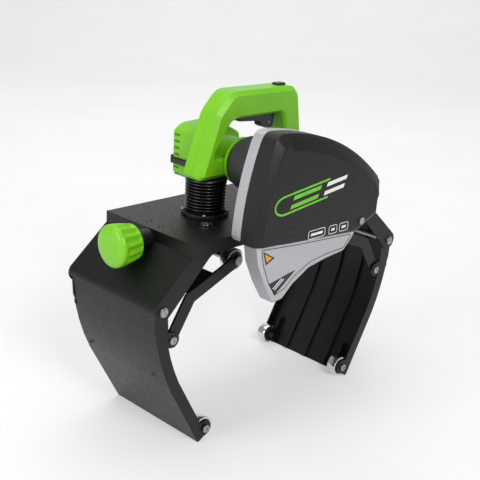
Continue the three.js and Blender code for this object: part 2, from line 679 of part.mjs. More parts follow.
function handleSolid() {
  const knuckle = join(
    rod('y', 15, handleMid - earInner + slack, handleMid + earInner - slack, [hingeX, 0, hingeHeight], 20),
    prism([[hingeX - 60, handleBottom + 30], [hingeX - 52, handleBottom], [hingeX - 14, hingeHeight - 4],
      [hingeX + 12, hingeHeight + 8], [hingeX - 4, hingeHeight + 22]],
    handleMid - earInner + slack, handleMid + earInner - slack));
  const pocket = join(
    bar([-102, 201], [-74, 257], 5.5, handleFront + handleWall, handleRear - handleWall),
    bar([-56, 262], [62, 262], 14, handleFront + handleWall, handleRear - handleWall),
    bar([70, 255], [82, 190], 8, handleFront + handleWall, handleRear - handleWall));
  const slot = block(-38, 46, handleMid - triggerThick / 2 - slack, handleMid + triggerThick / 2 + slack,
    windowTop - 8, windowTop + 12);
  const buttonHole = block(buttonX - 9 - fit, buttonX + 9 + fit, handleMid - 7 - fit, handleMid + 7 + fit,
    handleTop - 10, handleTop + 6);
  const pinHole = rod('y', hingePinRadius + fit, 0, deckDepth, [hingeX, 0, hingeHeight], 12);
  const triggerPin = rod('y', 2.5, handleFront + 1, handleRear - 1, [triggerPivotX, 0, triggerPivotZ], 12);
  return join(cut(join(handleBody(), knuckle), pocket, slot, buttonHole, pinHole, barrelHole()), triggerPin);
}
const buttonX = 60;
const triggerPivotX = 36;
const triggerPivotZ = 254;
const whole = handleSolid();
const frontHalf = block(-400, 400, -200, handleMid, -300, 400);
const rearHalf = block(-400, 400, handleMid + fit, 400, -300, 400);
add('handle_front_shell', whole.intersect(frontHalf), greenPlastic());
add('handle_rear_shell', whole.intersect(rearHalf), greenPlastic());

function trigger() {
  const outline = rounded([[-36, windowTop - 9, 2], [14, windowTop - 13, 2], [17, windowTop - 22, 3],
    [25, windowTop - 26, 3], [43, windowTop - 26, 3], [45, windowTop + 4, 0], [44, triggerPivotZ + 5, 3],
    [28, triggerPivotZ + 5, 3], [24, windowTop + 6, 2], [-34, windowTop + 4, 1]]);
  const body = prism(outline, handleMid - triggerThick / 2, handleMid + triggerThick / 2);
  return cut(body, rod('y', 2.5 + fit, 0, deckDepth, [triggerPivotX, 0, triggerPivotZ], 20));
}
add('trigger', trigger(), blackPlastic());

function switchModule() {
  const half = handleDepth / 2 - handleWall - fit;
  return block(-24, 18, handleMid - half, handleMid + half, windowTop + 13, windowTop + 31);
}
add('switch_module', switchModule(), blackPlastic());

function lockOffButton() {
  const stem = block(-9, 9, -7, 7, handleTop - 13, handleTop + 4);
  const lip = block(-13, 13, -10, 10, handleTop - 15, handleTop - 11.5);
  return join(stem, lip);
}
add('lock_off_button', lockOffButton(), blackPlastic(), [buttonX, handleMid, 0]);

// ---------- gear case, motor ----------
const chamberFront = guardBackY + fit;
const frontWall = 10;
const middleWall = 22;
const motorCentre = [bladeX, 0, motorHeight];
const spindleCentre = [bladeX, 0, spindleHeight];
const gearOuter = gearModule * (wheelTeeth / 2 + 1);
const lobeRadius = gearOuter + 4;
const bulge = [bladeX, 0, motorHeight - 3];

function gearCase() {
  const outer = join(
    turned('y', [[0, chamberFront], [gearCaseRadius - 4, chamberFront], [gearCaseRadius, chamberFront + 5],
      [gearCaseRadius, gearCaseRear - 12], [gearCaseRadius - 5, gearCaseRear], [0, gearCaseRear]], bulge, 28),
    rod('y', lobeRadius, chamberFront, middleWall + 4, spindleCentre, 24));
  const chamber = join(
    rod('y', gearCaseRadius - 5, chamberFront + frontWall, middleWall - 8, bulge, 24),
    rod('y', gearOuter + 1, chamberFront + frontWall, middleWall - 8, spindleCentre, 20),
    rod('y', gearCaseRadius - 4, middleWall + 2, gearCaseRear + 1, bulge, 24));
  const bores = join(
    rod('y', 15 + fit, chamberFront - 1, chamberFront + frontWall + 1, spindleCentre, 20),
    rod('y', bearingRadius + fit, middleWall - 9, middleWall + 3, motorCentre, 24));
  return cut(outer, chamber, bores);
}
add('gear_case', gearCase(), greyCasting());

const housingFront = gearCaseRear + fit;
const barrelRadius = statorRadius + 6;
function motorHousing() {
  const tube = rod('y', barrelRadius, housingFront, handleRear + 1, motorCentre, 28);
  const cap = turned('y', [[0, housingFront], [gearCaseRadius - 5, housingFront],
    [gearCaseRadius - 5, handleFront - 1], [0, handleFront - 1]], bulge, 28);
  const box = [[bladeX - 51, handleBottom, 8], [bladeX + 47, handleBottom, 8],
    [bladeX + 47, housingTop - 18, 12], [bladeX + 12, housingTop, 20], [bladeX - 34, housingTop - 2, 14],
    [bladeX - 51, housingTop - 12, 8]];
  const shell = loft([
    { outline: rounded(inset(box, 3)), y: handleRear + slack },
    { outline: rounded(box), y: handleRear + 4 },
    { outline: rounded(box), y: housingRear - 8 },
    { outline: rounded(inset(box, 7)), y: housingRear },
  ]);
  const skirt = [[bladeX - 51, housingBottom, 8], [bladeX + 47, housingBottom, 8],
    [bladeX + 47, handleBottom + 20], [bladeX - 51, handleBottom + 20]];
  const lower = loft([
    { outline: rounded(inset(skirt, 3)), y: skirtFront },
    { outline: rounded(skirt), y: skirtFront + 4 },
    { outline: rounded(skirt), y: housingRear - 8 },
    { outline: rounded(inset(skirt, 7)), y: housingRear },
  ]);
  let body = join(tube, shell, lower, cap);
  const hollow = rounded(inset(box, 9));
  body = cut(body,
    rod('y', statorRadius + fit, housingFront - 1, handleRear + 3, motorCentre, 24),
    prism(hollow, handleRear + 3, housingRear - 5));
  const spider = join(
    ring('y', bearingRadius + 4, bearingRadius + fit, housingRear - 16, housingRear - 4, motorCentre, 24),
    block(bladeX - 45, bladeX - bearingRadius - 2, housingRear - 12, housingRear - 4, motorHeight - 3, motorHeight + 3),
    block(bladeX + bearingRadius + 2, bladeX + 41, housingRear - 12, housingRear - 4, motorHeight - 3, motorHeight + 3));
  body = body.add(spider);
  for (let i = -2; i < 5; i++) {
    const z = handleBottom + 9 + i * 10.5;
    if (Math.abs(z + 2 - bandHeightZ) < 8) continue;
    body = cut(body, block(bladeX - 60, bladeX - 45, housingRear - 22, housingRear + 1, z, z + 4));
    body = cut(body, block(bladeX + 41, bladeX + 60, housingRear - 22, housingRear + 1, z, z + 4));
  }
  return cut(body, rod('y', inletRadius + fit, housingRear - 12, housingRear + 1, inletCentre, 12));
}
const bandHeightZ = 161;
const inletRadius = 7;
const inletCentre = [bladeX + 28, 0, handleBottom + 44];
add('motor_housing', motorHousing(), greenPlastic());

function bumperBand() {
  const [x0, x1] = [bladeX - 51 - fit, bladeX + 47 + fit];
  const [z0, z1] = [bandHeightZ - 5.5, bandHeightZ + 5.5];
  const y0 = handleRear + 5;
  const plan = (grow) => [[x0 - grow, y0], [x0 - grow, housingRear - 6], [x0 + 7 - grow / 2, housingRear + fit + grow],
    [x1 - 7 + grow / 2, housingRear + fit + grow], [x1 + grow, housingRear - 6], [x1 + grow, y0]];
  const outline = [...plan(4), ...plan(0).reverse()];
  const shape = new THREE.Shape(outline.map(([x, y]) => new THREE.Vector2(x, y)));
  const geometry = new THREE.ExtrudeGeometry(shape, { depth: z1 - z0, bevelEnabled: false });
  geometry.translate(0, 0, z0);
  return solid(geometry);
}
add('bumper_band', bumperBand(), blackRubber());

function cordInlet() {
  return turned('y', [[4, housingRear - 8], [inletRadius, housingRear - 8], [inletRadius, housingRear + fit],
    [inletRadius + 3, housingRear + fit], [inletRadius + 3, housingRear + 5], [inletRadius - 0.5, housingRear + 12],
    [4, housingRear + 12], [4, housingRear - 8]], inletCentre, 12);
}
add('cord_inlet', cordInlet(), blackRubber());

const statorFront = handleFront - 4;
const statorRear = handleRear - 4;
add('stator', ring('y', statorRadius, 15.5, statorFront, statorRear, [0, 0, 0], 20), zincSteel(), motorCentre);

function toothedWheel(teeth, y0, y1, shift) {
  const outline = [];
  const pitch = (gearModule * teeth) / 2;
  const tooth = Math.PI / 2 / teeth - gearBacklash / pitch / 2;
  for (let i = 0; i < teeth; i++) {
    const a = ((i + shift) * 2 * Math.PI) / teeth;
    for (const [r, w] of [[pitch - 1.3 * gearModule, -1.55], [pitch, -1], [pitch + 0.85 * gearModule, -0.5],
      [pitch + 0.85 * gearModule, 0.5], [pitch, 1], [pitch - 1.3 * gearModule, 1.55]]) {
      outline.push([r * Math.cos(a + w * tooth), r * Math.sin(a + w * tooth)]);
    }
  }
  return prism(outline, y0, y1);
}

const gearFront = chamberFront + frontWall + 1.5;
const gearWide = 10;
function rotor() {
  return join(
    rod('y', 4, gearFront - 1, housingRear - 5, [0, 0, 0], 20),
    toothedWheel(pinionTeeth, gearFront - 1, gearFront + gearWide + 1, 0.25),
    rod('y', 15, statorFront + 2, statorRear - 2, [0, 0, 0], 20),
    rod('y', 11, statorRear + 3, statorRear + 22, [0, 0, 0], 12));
}
add('rotor', rotor(), zincSteel(), motorCentre);

const fanRadius = gearCaseRadius - 9;
const fanHub = 10;
function fan() {
  const blades = 7;
  let body = ring('y', fanRadius, 4 + fit, 34, 36, [0, 0, 0], 24);
  body = body.add(ring('y', fanHub, 4 + fit, 34, 50, [0, 0, 0], 12));
  for (let i = 0; i < blades; i++) {
    const a = (i * 2 * Math.PI) / blades;
    const vane = new THREE.BoxGeometry(fanRadius - fanHub - 1, 12, 1.6);
    vane.translate((fanRadius + fanHub - 3) / 2, 41, 0);
    vane.rotateY(a);
    body = body.add(solid(vane));
  }
  return body;
}
add('fan', fan(), blackPlastic(), motorCentre);

const ballBearing = (outer, inner, wide) => ring('y', outer, inner + fit, 0, wide, [0, 0, 0], 24);
add('rotor_front_bearing', ballBearing(bearingRadius, 4, 7), brightSteel(), [bladeX, middleWall - 6, motorHeight]);
add('rotor_rear_bearing', ballBearing(bearingRadius, 4, 7), brightSteel(), [bladeX, housingRear - 14, motorHeight]);
add('spindle_bearing', ballBearing(15, 7, 9), brightSteel(), [bladeX, chamberFront + 0.5, spindleHeight]);

const spindleTip = bladeFront - 8;
function spindle() {
  return join(
    rod('y', 7, chamberFront - 1, gearFront + gearWide + 1, [0, 0, 0], 12),
    rod('y', 10, bladeRear + 12, chamberFront - 1, [0, 0, 0], 12),
    rod('y', 6, spindleTip, bladeRear + 12, [0, 0, 0], 12));
}
add('spindle', spindle(), zincSteel(), spindleCentre);

function spindleGear() {
  const body = toothedWheel(wheelTeeth, gearFront, gearFront + gearWide, 0.25);
  return cut(body, rod('y', 7 + fit, -200, 200, [0, 0, 0], 12));
}
add('spindle_gear', spindleGear(), zincSteel(), spindleCentre);

// ---------- blade and its flanges ----------
function bladeDisc() {
  const teeth = 30;
  const outline = [];
  for (let i = 0; i < teeth; i++) {
    const a = (-i * 2 * Math.PI) / teeth;
    outline.push([(bladeRadius - 5) * Math.cos(a + 0.03), (bladeRadius - 5) * Math.sin(a + 0.03)]);
    outline.push([bladeRadius * Math.cos(a), bladeRadius * Math.sin(a)]);
    outline.push([(bladeRadius - 1) * Math.cos(a - 0.05), (bladeRadius - 1) * Math.sin(a - 0.05)]);
  }
  return cut(prism(outline, -bladeThick / 2, bladeThick / 2), rod('y', bladeBore + fit, -5, 5, [0, 0, 0], 28));
}
add('blade', bladeDisc(), brightSteel(), [bladeX, bladeY, spindleHeight]);

function innerFlange() {
  // Its hub fills the blade's bore.
  return cut(join(
    rod('y', flangeRadius + 3, bladeRear + fit, bladeRear + 5, [0, 0, 0], 24),
    rod('y', bladeBore, bladeFront + fit, bladeRear + 1, [0, 0, 0], 24),
    rod('y', 12, bladeRear + 4, bladeRear + 12 - fit, [0, 0, 0], 12)),
  rod('y', 6 + fit, -200, 200, [0, 0, 0], 12));
}
add('inner_blade_flange', innerFlange(), zincSteel(), spindleCentre);
add('outer_blade_flange', ring('y', flangeRadius + 3, 6 + fit, bladeFront - 4, bladeFront - fit, [0, 0, 0], 24),
  zincSteel(), spindleCentre);

function bladeBolt() {
  // Cap nut over the spindle's end.
  return cut(rod('y', 9.5, spindleTip - 2, bladeFront - 4 - fit, [0, 0, 0], 6),
    rod('y', 6 + fit, spindleTip - fit, 0, [0, 0, 0], 20));
}
add('blade_nut', bladeBolt(), zincSteel(), spindleCentre);

// ---------- guards ----------
const guardLeft = bladeX - bladeRadius - 18;       // rim's lower left corner
const guardCrown = spindleHeight + bladeRadius + 13;
const guardNose = bladeX + bladeRadius + noseReach;
const noseTop = spindleHeight + 6;
const bottomRight = [guardPivotX - 9, guardPivotZ - 17];

function crownCurve() {
  // The guard's long arch from its peak down to the nose, bowed to clear the blade.
  const peak = [bladeX - 0.6 * bladeRadius, guardCrown];
  const end = [guardNose - 4, noseTop];
  const way = new THREE.Vector2(end[0] - peak[0], end[1] - peak[1]).normalize();
  const chord = way.x * (peak[1] - spindleHeight) - way.y * (peak[0] - bladeX);
  const rise = bladeRadius + guardWall + bladeRoom - chord;
  return [peak, ...bow(peak, end, rise, 10), end];
}

function guardCorners() {
  const low = [guardLeft, guardPivotZ];
  const high = [guardLeft + 31, guardCrown - 16];
  return [[...low, 10], ...bow(low, high, 6.4, 6), high, [guardLeft + 40, guardCrown, 12], ...crownCurve(),
    [guardNose, noseTop - 9, 4], [guardNose, noseTop - 27, 3], [guardNose - 8, noseTop - 33],
    [guardNose - 9, guardPivotZ + 2, 4], [...bottomRight, 3]];
}

function crownChamfer() {
  // The wide slope between the cover's front panel and its arched top edge.
  const arch = crownCurve();
  const above = [[guardNose + 60, noseTop - 30], [guardNose + 60, guardCrown + 60], [guardLeft + 20, guardCrown + 60]];
  const lowered = (drop) => arch.map(([x, z], i) => {
    const run = Math.min(1, (i + 1) / 4);
    return [x - 0.45 * drop * run, z - 0.9 * drop * run];
  });
  return loft([
    { outline: [...lowered(crownSlope * (1 + 1 / crownDepth)), ...above], y: coverFrontY - 1 },
    { outline: [...lowered(0), ...above], y: coverFrontY + crownDepth },
  ]);
}

function guardBackPlate() {
  const corners = guardCorners();
  const tray = cut(prism(rounded(corners), rimFront, guardBackY),
    prism(rounded(inset(corners, guardWall + 1)), rimFront - 1, guardBackY - guardWall));
  const mouth = prism([[guardLeft + 5, guardPivotZ - 30], [guardLeft + 5, guardPivotZ + 20],
    [guardPivotX - 13, guardPivotZ + 6], [guardPivotX + 13, guardPivotZ - 30]], rimFront - 1, guardBackY - guardWall);
  const boss = rod('y', 9, rimFront - 2, guardBackY - guardWall + 0.5, [guardPivotX, 0, guardPivotZ], 12);
  const spindleHole = rod('y', 12, -200, 100, spindleCentre, 24);
  const boltHole = rod('y', 3 + fit, -200, 100, [guardPivotX, 0, guardPivotZ], 12);
  return cut(join(cut(tray, mouth), boss), spindleHole, boltHole);
}
add('guard_back_plate', guardBackPlate(), silverPaint());

function guardCover() {
  const corners = guardCorners();
  const back = rimFront - fit;
  const body = loft([
    { outline: rounded(inset(corners, coverBevel)), y: coverFrontY },
    { outline: rounded(corners), y: coverFrontY + coverBevel },
    { outline: rounded(corners), y: back },
  ]);
  const hollow = loft([
    { outline: rounded(inset(corners, coverBevel + 1)), y: coverFrontY + guardWall },
    { outline: rounded(inset(corners, guardWall)), y: coverFrontY + coverBevel + 1 },
    { outline: rounded(inset(corners, guardWall)), y: back + 1 },
  ]);
  const chamfer = crownChamfer();
  const mouth = prism([[guardLeft + 4, guardPivotZ - 50], [guardLeft + 4, guardPivotZ + 20],
    [guardPivotX - 23, guardPivotZ + 6], [guardPivotX + 7, guardPivotZ - 2], [guardPivotX + 7, guardPivotZ - 50]],
  coverFrontY + guardWall, back + 1);
  const boltHole = rod('y', 3 + fit, -200, 100, [guardPivotX, 0, guardPivotZ], 12);
  return cut(body, chamfer, cut(hollow, chamfer.translate([-0.3 * guardWall, guardWall, -0.5 * guardWall])),
    mouth, boltHole);
}
add('guard_cover', guardCover(), blackPlastic());

const lowerBack = rimFront - 2.5;
const lowerFront = coverFrontY + guardWall + 1.2;
const lowerLeft = guardLeft + 6;
const lowerBevel = 4;
function lowerGuard() {
  const rim = [[lowerLeft, guardPivotZ + 10], [lowerLeft, guardPivotZ - 2], [lowerLeft + 5, 62],
    [lowerLeft + 21, 28], [lowerLeft + 42, -6]];
  const mouthEdge = [[-86, -4], [-65, 14], [-29, 33], [13, 40], [52, 43.5], [guardPivotX - 13, guardPivotZ - 30]];
  const eye = [-60, -20, 20, 60, 100].map((degrees) => {
    const a = (degrees * Math.PI) / 180;
    return [guardPivotX + guardEyeRadius * Math.cos(a), guardPivotZ + guardEyeRadius * Math.sin(a)];
  });
  const outline = [...rim, ...mouthEdge, ...eye, [20, guardPivotZ + 10], [-60, guardPivotZ + 14]];
  const body = loft([
    { outline: inset(outline, lowerBevel), y: lowerFront },
    { outline, y: lowerFront + lowerBevel },
    { outline, y: lowerBack },
  ]);
  const hollow = join(
    prism(inset(outline, guardWall), lowerFront + guardWall, lowerBack + 1),
    block(lowerLeft + guardWall, 200, lowerFront + guardWall, lowerBack + 1, guardPivotZ, guardPivotZ + 30))
    .intersect(block(-400, guardPivotX - 21, -200, 0, -100, 200));
  const slit = prism([...mouthEdge.map(([x, z]) => [x, z - 16]), ...mouthEdge.map(([x, z]) => [x, z + 16]).reverse()],
    bladeY - 5, bladeY + 5);
  const bolt = rod('y', 3 + fit, -200, 100, [guardPivotX, 0, guardPivotZ], 12);
  return cut(body, hollow, slit, bolt);
}
add('lower_guard', lowerGuard(), silverPaint());

function guardPivotBolt() {
  return join(rod('y', 3, coverFrontY - fit, guardBackY - fit, [0, 0, 0], 12),
    rod('y', 6, coverFrontY - 2.5, coverFrontY - fit, [0, 0, 0], 20));
}
add('guard_pivot_bolt', guardPivotBolt(), zincSteel(), [guardPivotX, 0, guardPivotZ]);

// ---------- origin at the bottom centre ----------
const bounds = new THREE.Box3().setFromObject(model);
const centre = bounds.getCenter(new THREE.Vector3());
model.position.set(-centre.x, -centre.y, -bounds.min.z);

export default model;
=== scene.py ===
import math

import bmesh
import bpy
from mathutils import Matrix, Vector


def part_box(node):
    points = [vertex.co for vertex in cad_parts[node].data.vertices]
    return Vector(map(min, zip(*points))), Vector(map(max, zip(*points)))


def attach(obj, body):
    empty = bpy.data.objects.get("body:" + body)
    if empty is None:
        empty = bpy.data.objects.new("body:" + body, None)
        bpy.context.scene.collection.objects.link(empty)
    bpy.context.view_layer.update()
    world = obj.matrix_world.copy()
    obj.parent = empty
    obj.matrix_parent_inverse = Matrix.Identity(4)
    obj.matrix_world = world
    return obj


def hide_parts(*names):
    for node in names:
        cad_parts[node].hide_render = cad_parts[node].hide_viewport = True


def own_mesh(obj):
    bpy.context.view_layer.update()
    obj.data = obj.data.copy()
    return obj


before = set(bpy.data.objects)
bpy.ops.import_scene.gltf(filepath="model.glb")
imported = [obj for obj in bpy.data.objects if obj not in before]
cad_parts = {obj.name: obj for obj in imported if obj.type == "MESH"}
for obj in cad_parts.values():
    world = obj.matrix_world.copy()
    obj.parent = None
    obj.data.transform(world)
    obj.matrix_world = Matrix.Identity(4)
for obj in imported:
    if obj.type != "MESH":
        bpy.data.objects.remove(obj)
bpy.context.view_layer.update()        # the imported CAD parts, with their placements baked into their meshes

MM = 0.001


# ---------- places, taken from the frame ----------
# Pieces are drawn in millimetres from the jaw pivots' height, the saddle's front face and the middle
# plane, as the saw's own drawing is, and point() turns such a place into the row frame.
def middle(node):
    low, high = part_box(node)
    return (low + high) / 2


PIVOT_HEIGHT = middle("left_pivot_pin").z
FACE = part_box("frame_shell")[0].y


def point(x, y, z):
    return Vector((x * MM, FACE + y * MM, PIVOT_HEIGHT + z * MM))


def drawn(place):
    """A place in the row frame as drawing millimetres."""
    return Vector((place.x, place.y - FACE, place.z - PIVOT_HEIGHT)) / MM


def drawn_box(node):
    low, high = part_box(node)
    return drawn(low), drawn(high)


# ---------- materials ----------
def linear(hex_colour):
    """An sRGB hex colour as the linear RGBA that shaders take."""
    value = int(hex_colour.lstrip("#"), 16)
    channels = [((value >> shift) & 255) / 255 for shift in (16, 8, 0)]
    lit = [c / 12.92 if c <= 0.04045 else ((c + 0.055) / 1.055) ** 2.4 for c in channels]
    return (*lit, 1.0)


def put(tree, kind, values=None, links=None, **settings):
    """Adds a node with its settings, its inputs' values and the outputs that feed its inputs."""
    added = tree.nodes.new(kind)
    for key, value in settings.items():
        setattr(added, key, value)
    for key, value in (values or {}).items():
        added.inputs[key].default_value = value
    for key, source in (links or {}).items():
        tree.links.new(source, added.inputs[key])
    return added


def ramp(tree, factor, low, high, dark, light):
    """A colour that goes from dark to light as the factor goes from low to high."""
    made = put(tree, "ShaderNodeValToRGB", links={"Fac": factor})
    first, last = made.color_ramp.elements
    first.position, last.position = low, high
    first.color, last.color = linear(dark), linear(light)
    return made.outputs["Color"]


def span(tree, factor, low, high):
    """A number that goes from low to high as a noise goes from its usual least to its usual most."""
    made = put(tree, "ShaderNodeMapRange",
               {"From Min": 0.3, "From Max": 0.7, "To Min": low, "To Max": high}, {"Value": factor})
    return made.outputs["Result"]


def grain(tree, size_mm, detail=3.0, roughness=0.55, stretch=(1, 1, 1)):
    """Noise in Object coordinates with lumps about size_mm across, finer where stretch is large."""
    place = put(tree, "ShaderNodeTexCoord")
    scaled = put(tree, "ShaderNodeMapping", {"Scale": stretch}, {"Vector": place.outputs["Object"]})
    made = put(tree, "ShaderNodeTexNoise",
               {"Scale": 1 / (size_mm * MM), "Detail": detail, "Roughness": roughness},
               {"Vector": scaled.outputs["Vector"]})
    return made.outputs["Fac"]


def bump(tree, height, depth_mm, strength=1.0):
    made = put(tree, "ShaderNodeBump", {"Distance": depth_mm * MM, "Strength": strength},
               {"Height": height})
    return made.outputs["Normal"]


def material(name, colour=None, rough=None, normal=None, **uniform):
    """A principled material: colour, rough and normal take links, and uniform sets plain socket values."""
    made = bpy.data.materials.new(name)
    made.use_nodes = True
    tree = made.node_tree
    shader = tree.nodes["Principled BSDF"]
    for key, value in uniform.items():
        shader.inputs[key.replace("_", " ")].default_value = value
    for socket, build in (("Base Color", colour), ("Roughness", rough), ("Normal", normal)):
        if build is not None:
            tree.links.new(build(tree), shader.inputs[socket])
    return made


def powder_coated_steel():
    # Black polyester powder coat on bent sheet: satin, with an orange peel that breaks up its highlights.
    return material(
        "powder coated steel",
        colour=lambda t: ramp(t, grain(t, 55, 4), 0.35, 0.7, "#060607", "#0B0B0C"),
        rough=lambda t: span(t, grain(t, 9, 5), 0.36, 0.47),
        # the real peel is 0.3 mm across, drawn at 1.6 mm so that it shows
        normal=lambda t: bump(t, grain(t, 1.6, 4), 0.05, 0.5),
        Metallic=0.0, IOR=1.5, Specular_IOR_Level=0.36)


def zinc_plated_steel():
    # Clear passivated zinc on bolts, screws and shafts: pale grey metal with a faint mottle.
    return material(
        "zinc plated steel",
        colour=lambda t: ramp(t, grain(t, 2.5, 3), 0.3, 0.75, "#8E9092", "#BFC1C4"),
        rough=lambda t: span(t, grain(t, 1.5, 3), 0.26, 0.42),
        Metallic=1.0)


def ground_bearing_steel():
    # Ground and polished bearing races: bright, with fine marks that run round the ring.
    return material(
        "ground bearing steel",
        colour=lambda t: ramp(t, grain(t, 4, 3, stretch=(1, 9, 1)), 0.3, 0.7, "#C9CBCD", "#E6E7E8"),
        rough=lambda t: span(t, grain(t, 0.8, 2, stretch=(1, 6, 1)), 0.14, 0.26),
        Metallic=1.0)


def blackened_seal():
    # Nitrile lip seals in the bearings: dull near black.
    return material(
        "nitrile seal",
        colour=lambda t: ramp(t, grain(t, 3, 3), 0.3, 0.7, "#202123", "#2E2F31"),
        rough=lambda t: span(t, grain(t, 1.2, 3), 0.5, 0.62),
        IOR=1.52)


def lime_abs():
    # Lime green moulded ABS with a fine spark eroded finish: saturated and satin, no metal in it.
    return material(
        "moulded lime ABS",
        colour=lambda t: ramp(t, grain(t, 70, 3), 0.3, 0.7, "#6CB70C", "#78C312"),
        rough=lambda t: span(t, grain(t, 6, 4), 0.33, 0.42),
        # 0.2 mm eroded grain, drawn at 1.3 mm
        normal=lambda t: bump(t, grain(t, 1.3, 3), 0.03, 0.35),
        IOR=1.53, Specular_IOR_Level=0.5)


def black_abs():
    # Black glass filled nylon and ABS: charcoal, with a moulded leather-like grain.
    return material(
        "grained black ABS",
        colour=lambda t: ramp(t, grain(t, 30, 4), 0.3, 0.7, "#0A0A0B", "#111112"),
        rough=lambda t: span(t, grain(t, 7, 4), 0.42, 0.56),
        normal=lambda t: bump(t, grain(t, 1.4, 4, 0.6), 0.06, 0.6),
        IOR=1.53, Specular_IOR_Level=0.38)


def smooth_black_abs():
    # The same plastic where the tool is polished: trigger, button and switch.
    return material(
        "polished black ABS",
        colour=lambda t: ramp(t, grain(t, 20, 3), 0.3, 0.7, "#121216", "#1B1B20"),
        rough=lambda t: span(t, grain(t, 4, 3), 0.24, 0.36),
        IOR=1.53)


def glossy_rubber():
    # Moulded neoprene of the bellows and the bumper band: deep black with a wet looking sheen.
    return material(
        "moulded neoprene",
        colour=lambda t: ramp(t, grain(t, 25, 3), 0.3, 0.7, "#070708", "#0D0D0E"),
        rough=lambda t: span(t, grain(t, 5, 4), 0.2, 0.34),
        normal=lambda t: bump(t, grain(t, 1.8, 3), 0.03, 0.3),
        IOR=1.52)


def painted_casting():
    # Die cast aluminium gear case under dark grey paint, with the casting's pebbled skin.
    return material(
        "painted die casting",
        colour=lambda t: ramp(t, grain(t, 22, 4), 0.3, 0.7, "#29292B", "#343437"),
        rough=lambda t: span(t, grain(t, 5, 4), 0.42, 0.55),
        normal=lambda t: bump(t, grain(t, 2.2, 4, 0.6), 0.08, 0.5),
        IOR=1.5)


def silver_lacquer():
    # Silver lacquer on the guards' castings: flakes give a cool sparkle over a satin ground.
    return material(
        "silver lacquer",
        colour=lambda t: ramp(t, grain(t, 1.5, 5, 0.7), 0.25, 0.75, "#A4A4A8", "#C9C9CD"),
        rough=lambda t: span(t, grain(t, 2.5, 4), 0.34, 0.5),
        normal=lambda t: bump(t, grain(t, 1.5, 3), 0.03, 0.4),
        Metallic=0.55, Coat_Weight=0.15, Coat_Roughness=0.25)


def ground_blade_steel():
    # Hardened saw plate, ground flat: bright grey with straight grinding marks.
    return material(
        "ground saw plate",
        colour=lambda t: ramp(t, grain(t, 3, 4, stretch=(1, 1, 12)), 0.3, 0.7, "#9A9CA0", "#C4C6C9"),
        rough=lambda t: span(t, grain(t, 1.2, 3, stretch=(1, 1, 10)), 0.2, 0.36),
        Metallic=1.0)


def laminated_iron():
    # Stacked electrical sheet of stator and rotor: thin dark lines every few tenths along the shaft.
    def lines(tree):
        place = put(tree, "ShaderNodeTexCoord")
        return put(tree, "ShaderNodeTexWave", {"Scale": 160.0, "Distortion": 0.6, "Detail": 2.0},
                   {"Vector": place.outputs["Object"]}, bands_direction="Y").outputs["Fac"]
    return material(
        "laminated iron",
        colour=lambda t: ramp(t, lines(t), 0.2, 0.8, "#5C5E62", "#86888C"),
        rough=lambda t: span(t, grain(t, 2, 3), 0.35, 0.5),
        Metallic=1.0)


def printed_film(name, dark, light):
    # Screen printed film: flat ink with a faint unevenness under a satin varnish.
    return material(
        name,
        colour=lambda t: ramp(t, grain(t, 8, 3), 0.3, 0.7, dark, light),
        rough=lambda t: span(t, grain(t, 3, 3), 0.3, 0.4),
        IOR=1.49)


STEEL = powder_coated_steel()
ZINC = zinc_plated_steel()
RACE = ground_bearing_steel()
SEAL = blackened_seal()
LIME = lime_abs()
GRAINED = black_abs()
POLISHED = smooth_black_abs()
RUBBER = glossy_rubber()
CASTING = painted_casting()
SILVER = silver_lacquer()
BLADE = ground_blade_steel()
IRON = laminated_iron()
WHITE_INK = printed_film("white ink", "#D9DADB", "#EDEDED")
GREEN_INK = printed_film("green ink", "#5DB31B", "#72C92C")
BLACK_INK = printed_film("black ink", "#131314", "#1C1C1D")
AMBER_INK = printed_film("amber ink", "#D98A12", "#EFA021")
# painted shade: this dark ink stands for the shadow inside the lower guard's inset groove line
GROOVE_SHADE_INK = printed_film("painted groove shade", "#2A2A2C", "#38383A")


# ---------- outlines, [x, z] or [x, z, radius] in drawing millimetres ----------
def rounded(corners, step=0.16):
    """Corners [x, z, radius] with their radii drawn as arcs."""
    outline = []
    for i, (x, z, *rest) in enumerate(corners):
        radius = rest[0] if rest else 0
        before, after = corners[i - 1], corners[(i + 1) % len(corners)]
        u = Vector((before[0] - x, before[1] - z)).normalized()
        v = Vector((after[0] - x, after[1] - z)).normalized()
        opening = math.acos(max(-1.0, min(1.0, u.dot(v))))
        if radius == 0 or math.pi - opening < 0.02:
            outline.append((x, z))
            continue
        reach = radius / math.tan(opening / 2)
        hub = (u + v).normalized() * (radius / math.sin(opening / 2))
        start = math.atan2(u.y * reach - hub.y, u.x * reach - hub.x)
        end = math.atan2(v.y * reach - hub.y, v.x * reach - hub.x)
        sweep = (end - start + math.pi) % (2 * math.pi) - math.pi
        pieces = max(1, round(abs(sweep) / step))
        for k in range(pieces + 1):
            a = start + sweep * k / pieces
            outline.append((x + hub.x + radius * math.cos(a), z + hub.y + radius * math.sin(a)))
    return outline


def bow(start, end, rise, pieces):
    """Points between two corners on a gentle arch that rises to the left of the way between them."""
    dx, dz = end[0] - start[0], end[1] - start[1]
    length = math.hypot(dx, dz)
    arch = []
    for k in range(1, pieces):
        t = k / pieces
        lift = 4 * rise * t * (1 - t) / length
        arch.append((start[0] + dx * t - dz * lift, start[1] + dz * t + dx * lift))
    return arch


def along(start, end, count):
    """Count points that start at one corner and stop short of the next."""
    return [(start[0] + (end[0] - start[0]) * k / count, start[1] + (end[1] - start[1]) * k / count)
            for k in range(count)]


# ---------- meshes ----------
def as_object(name, mesh, *materials):
    made = bpy.data.objects.new(name, mesh)
    bpy.context.scene.collection.objects.link(made)
    for m in materials:
        mesh.materials.append(m)
    return made


def from_bmesh(name, bm, *materials):
    bmesh.ops.recalc_face_normals(bm, faces=bm.faces)
    mesh = bpy.data.meshes.new(name)
    bm.to_mesh(mesh)
    bm.free()
    return as_object(name, mesh, *materials)


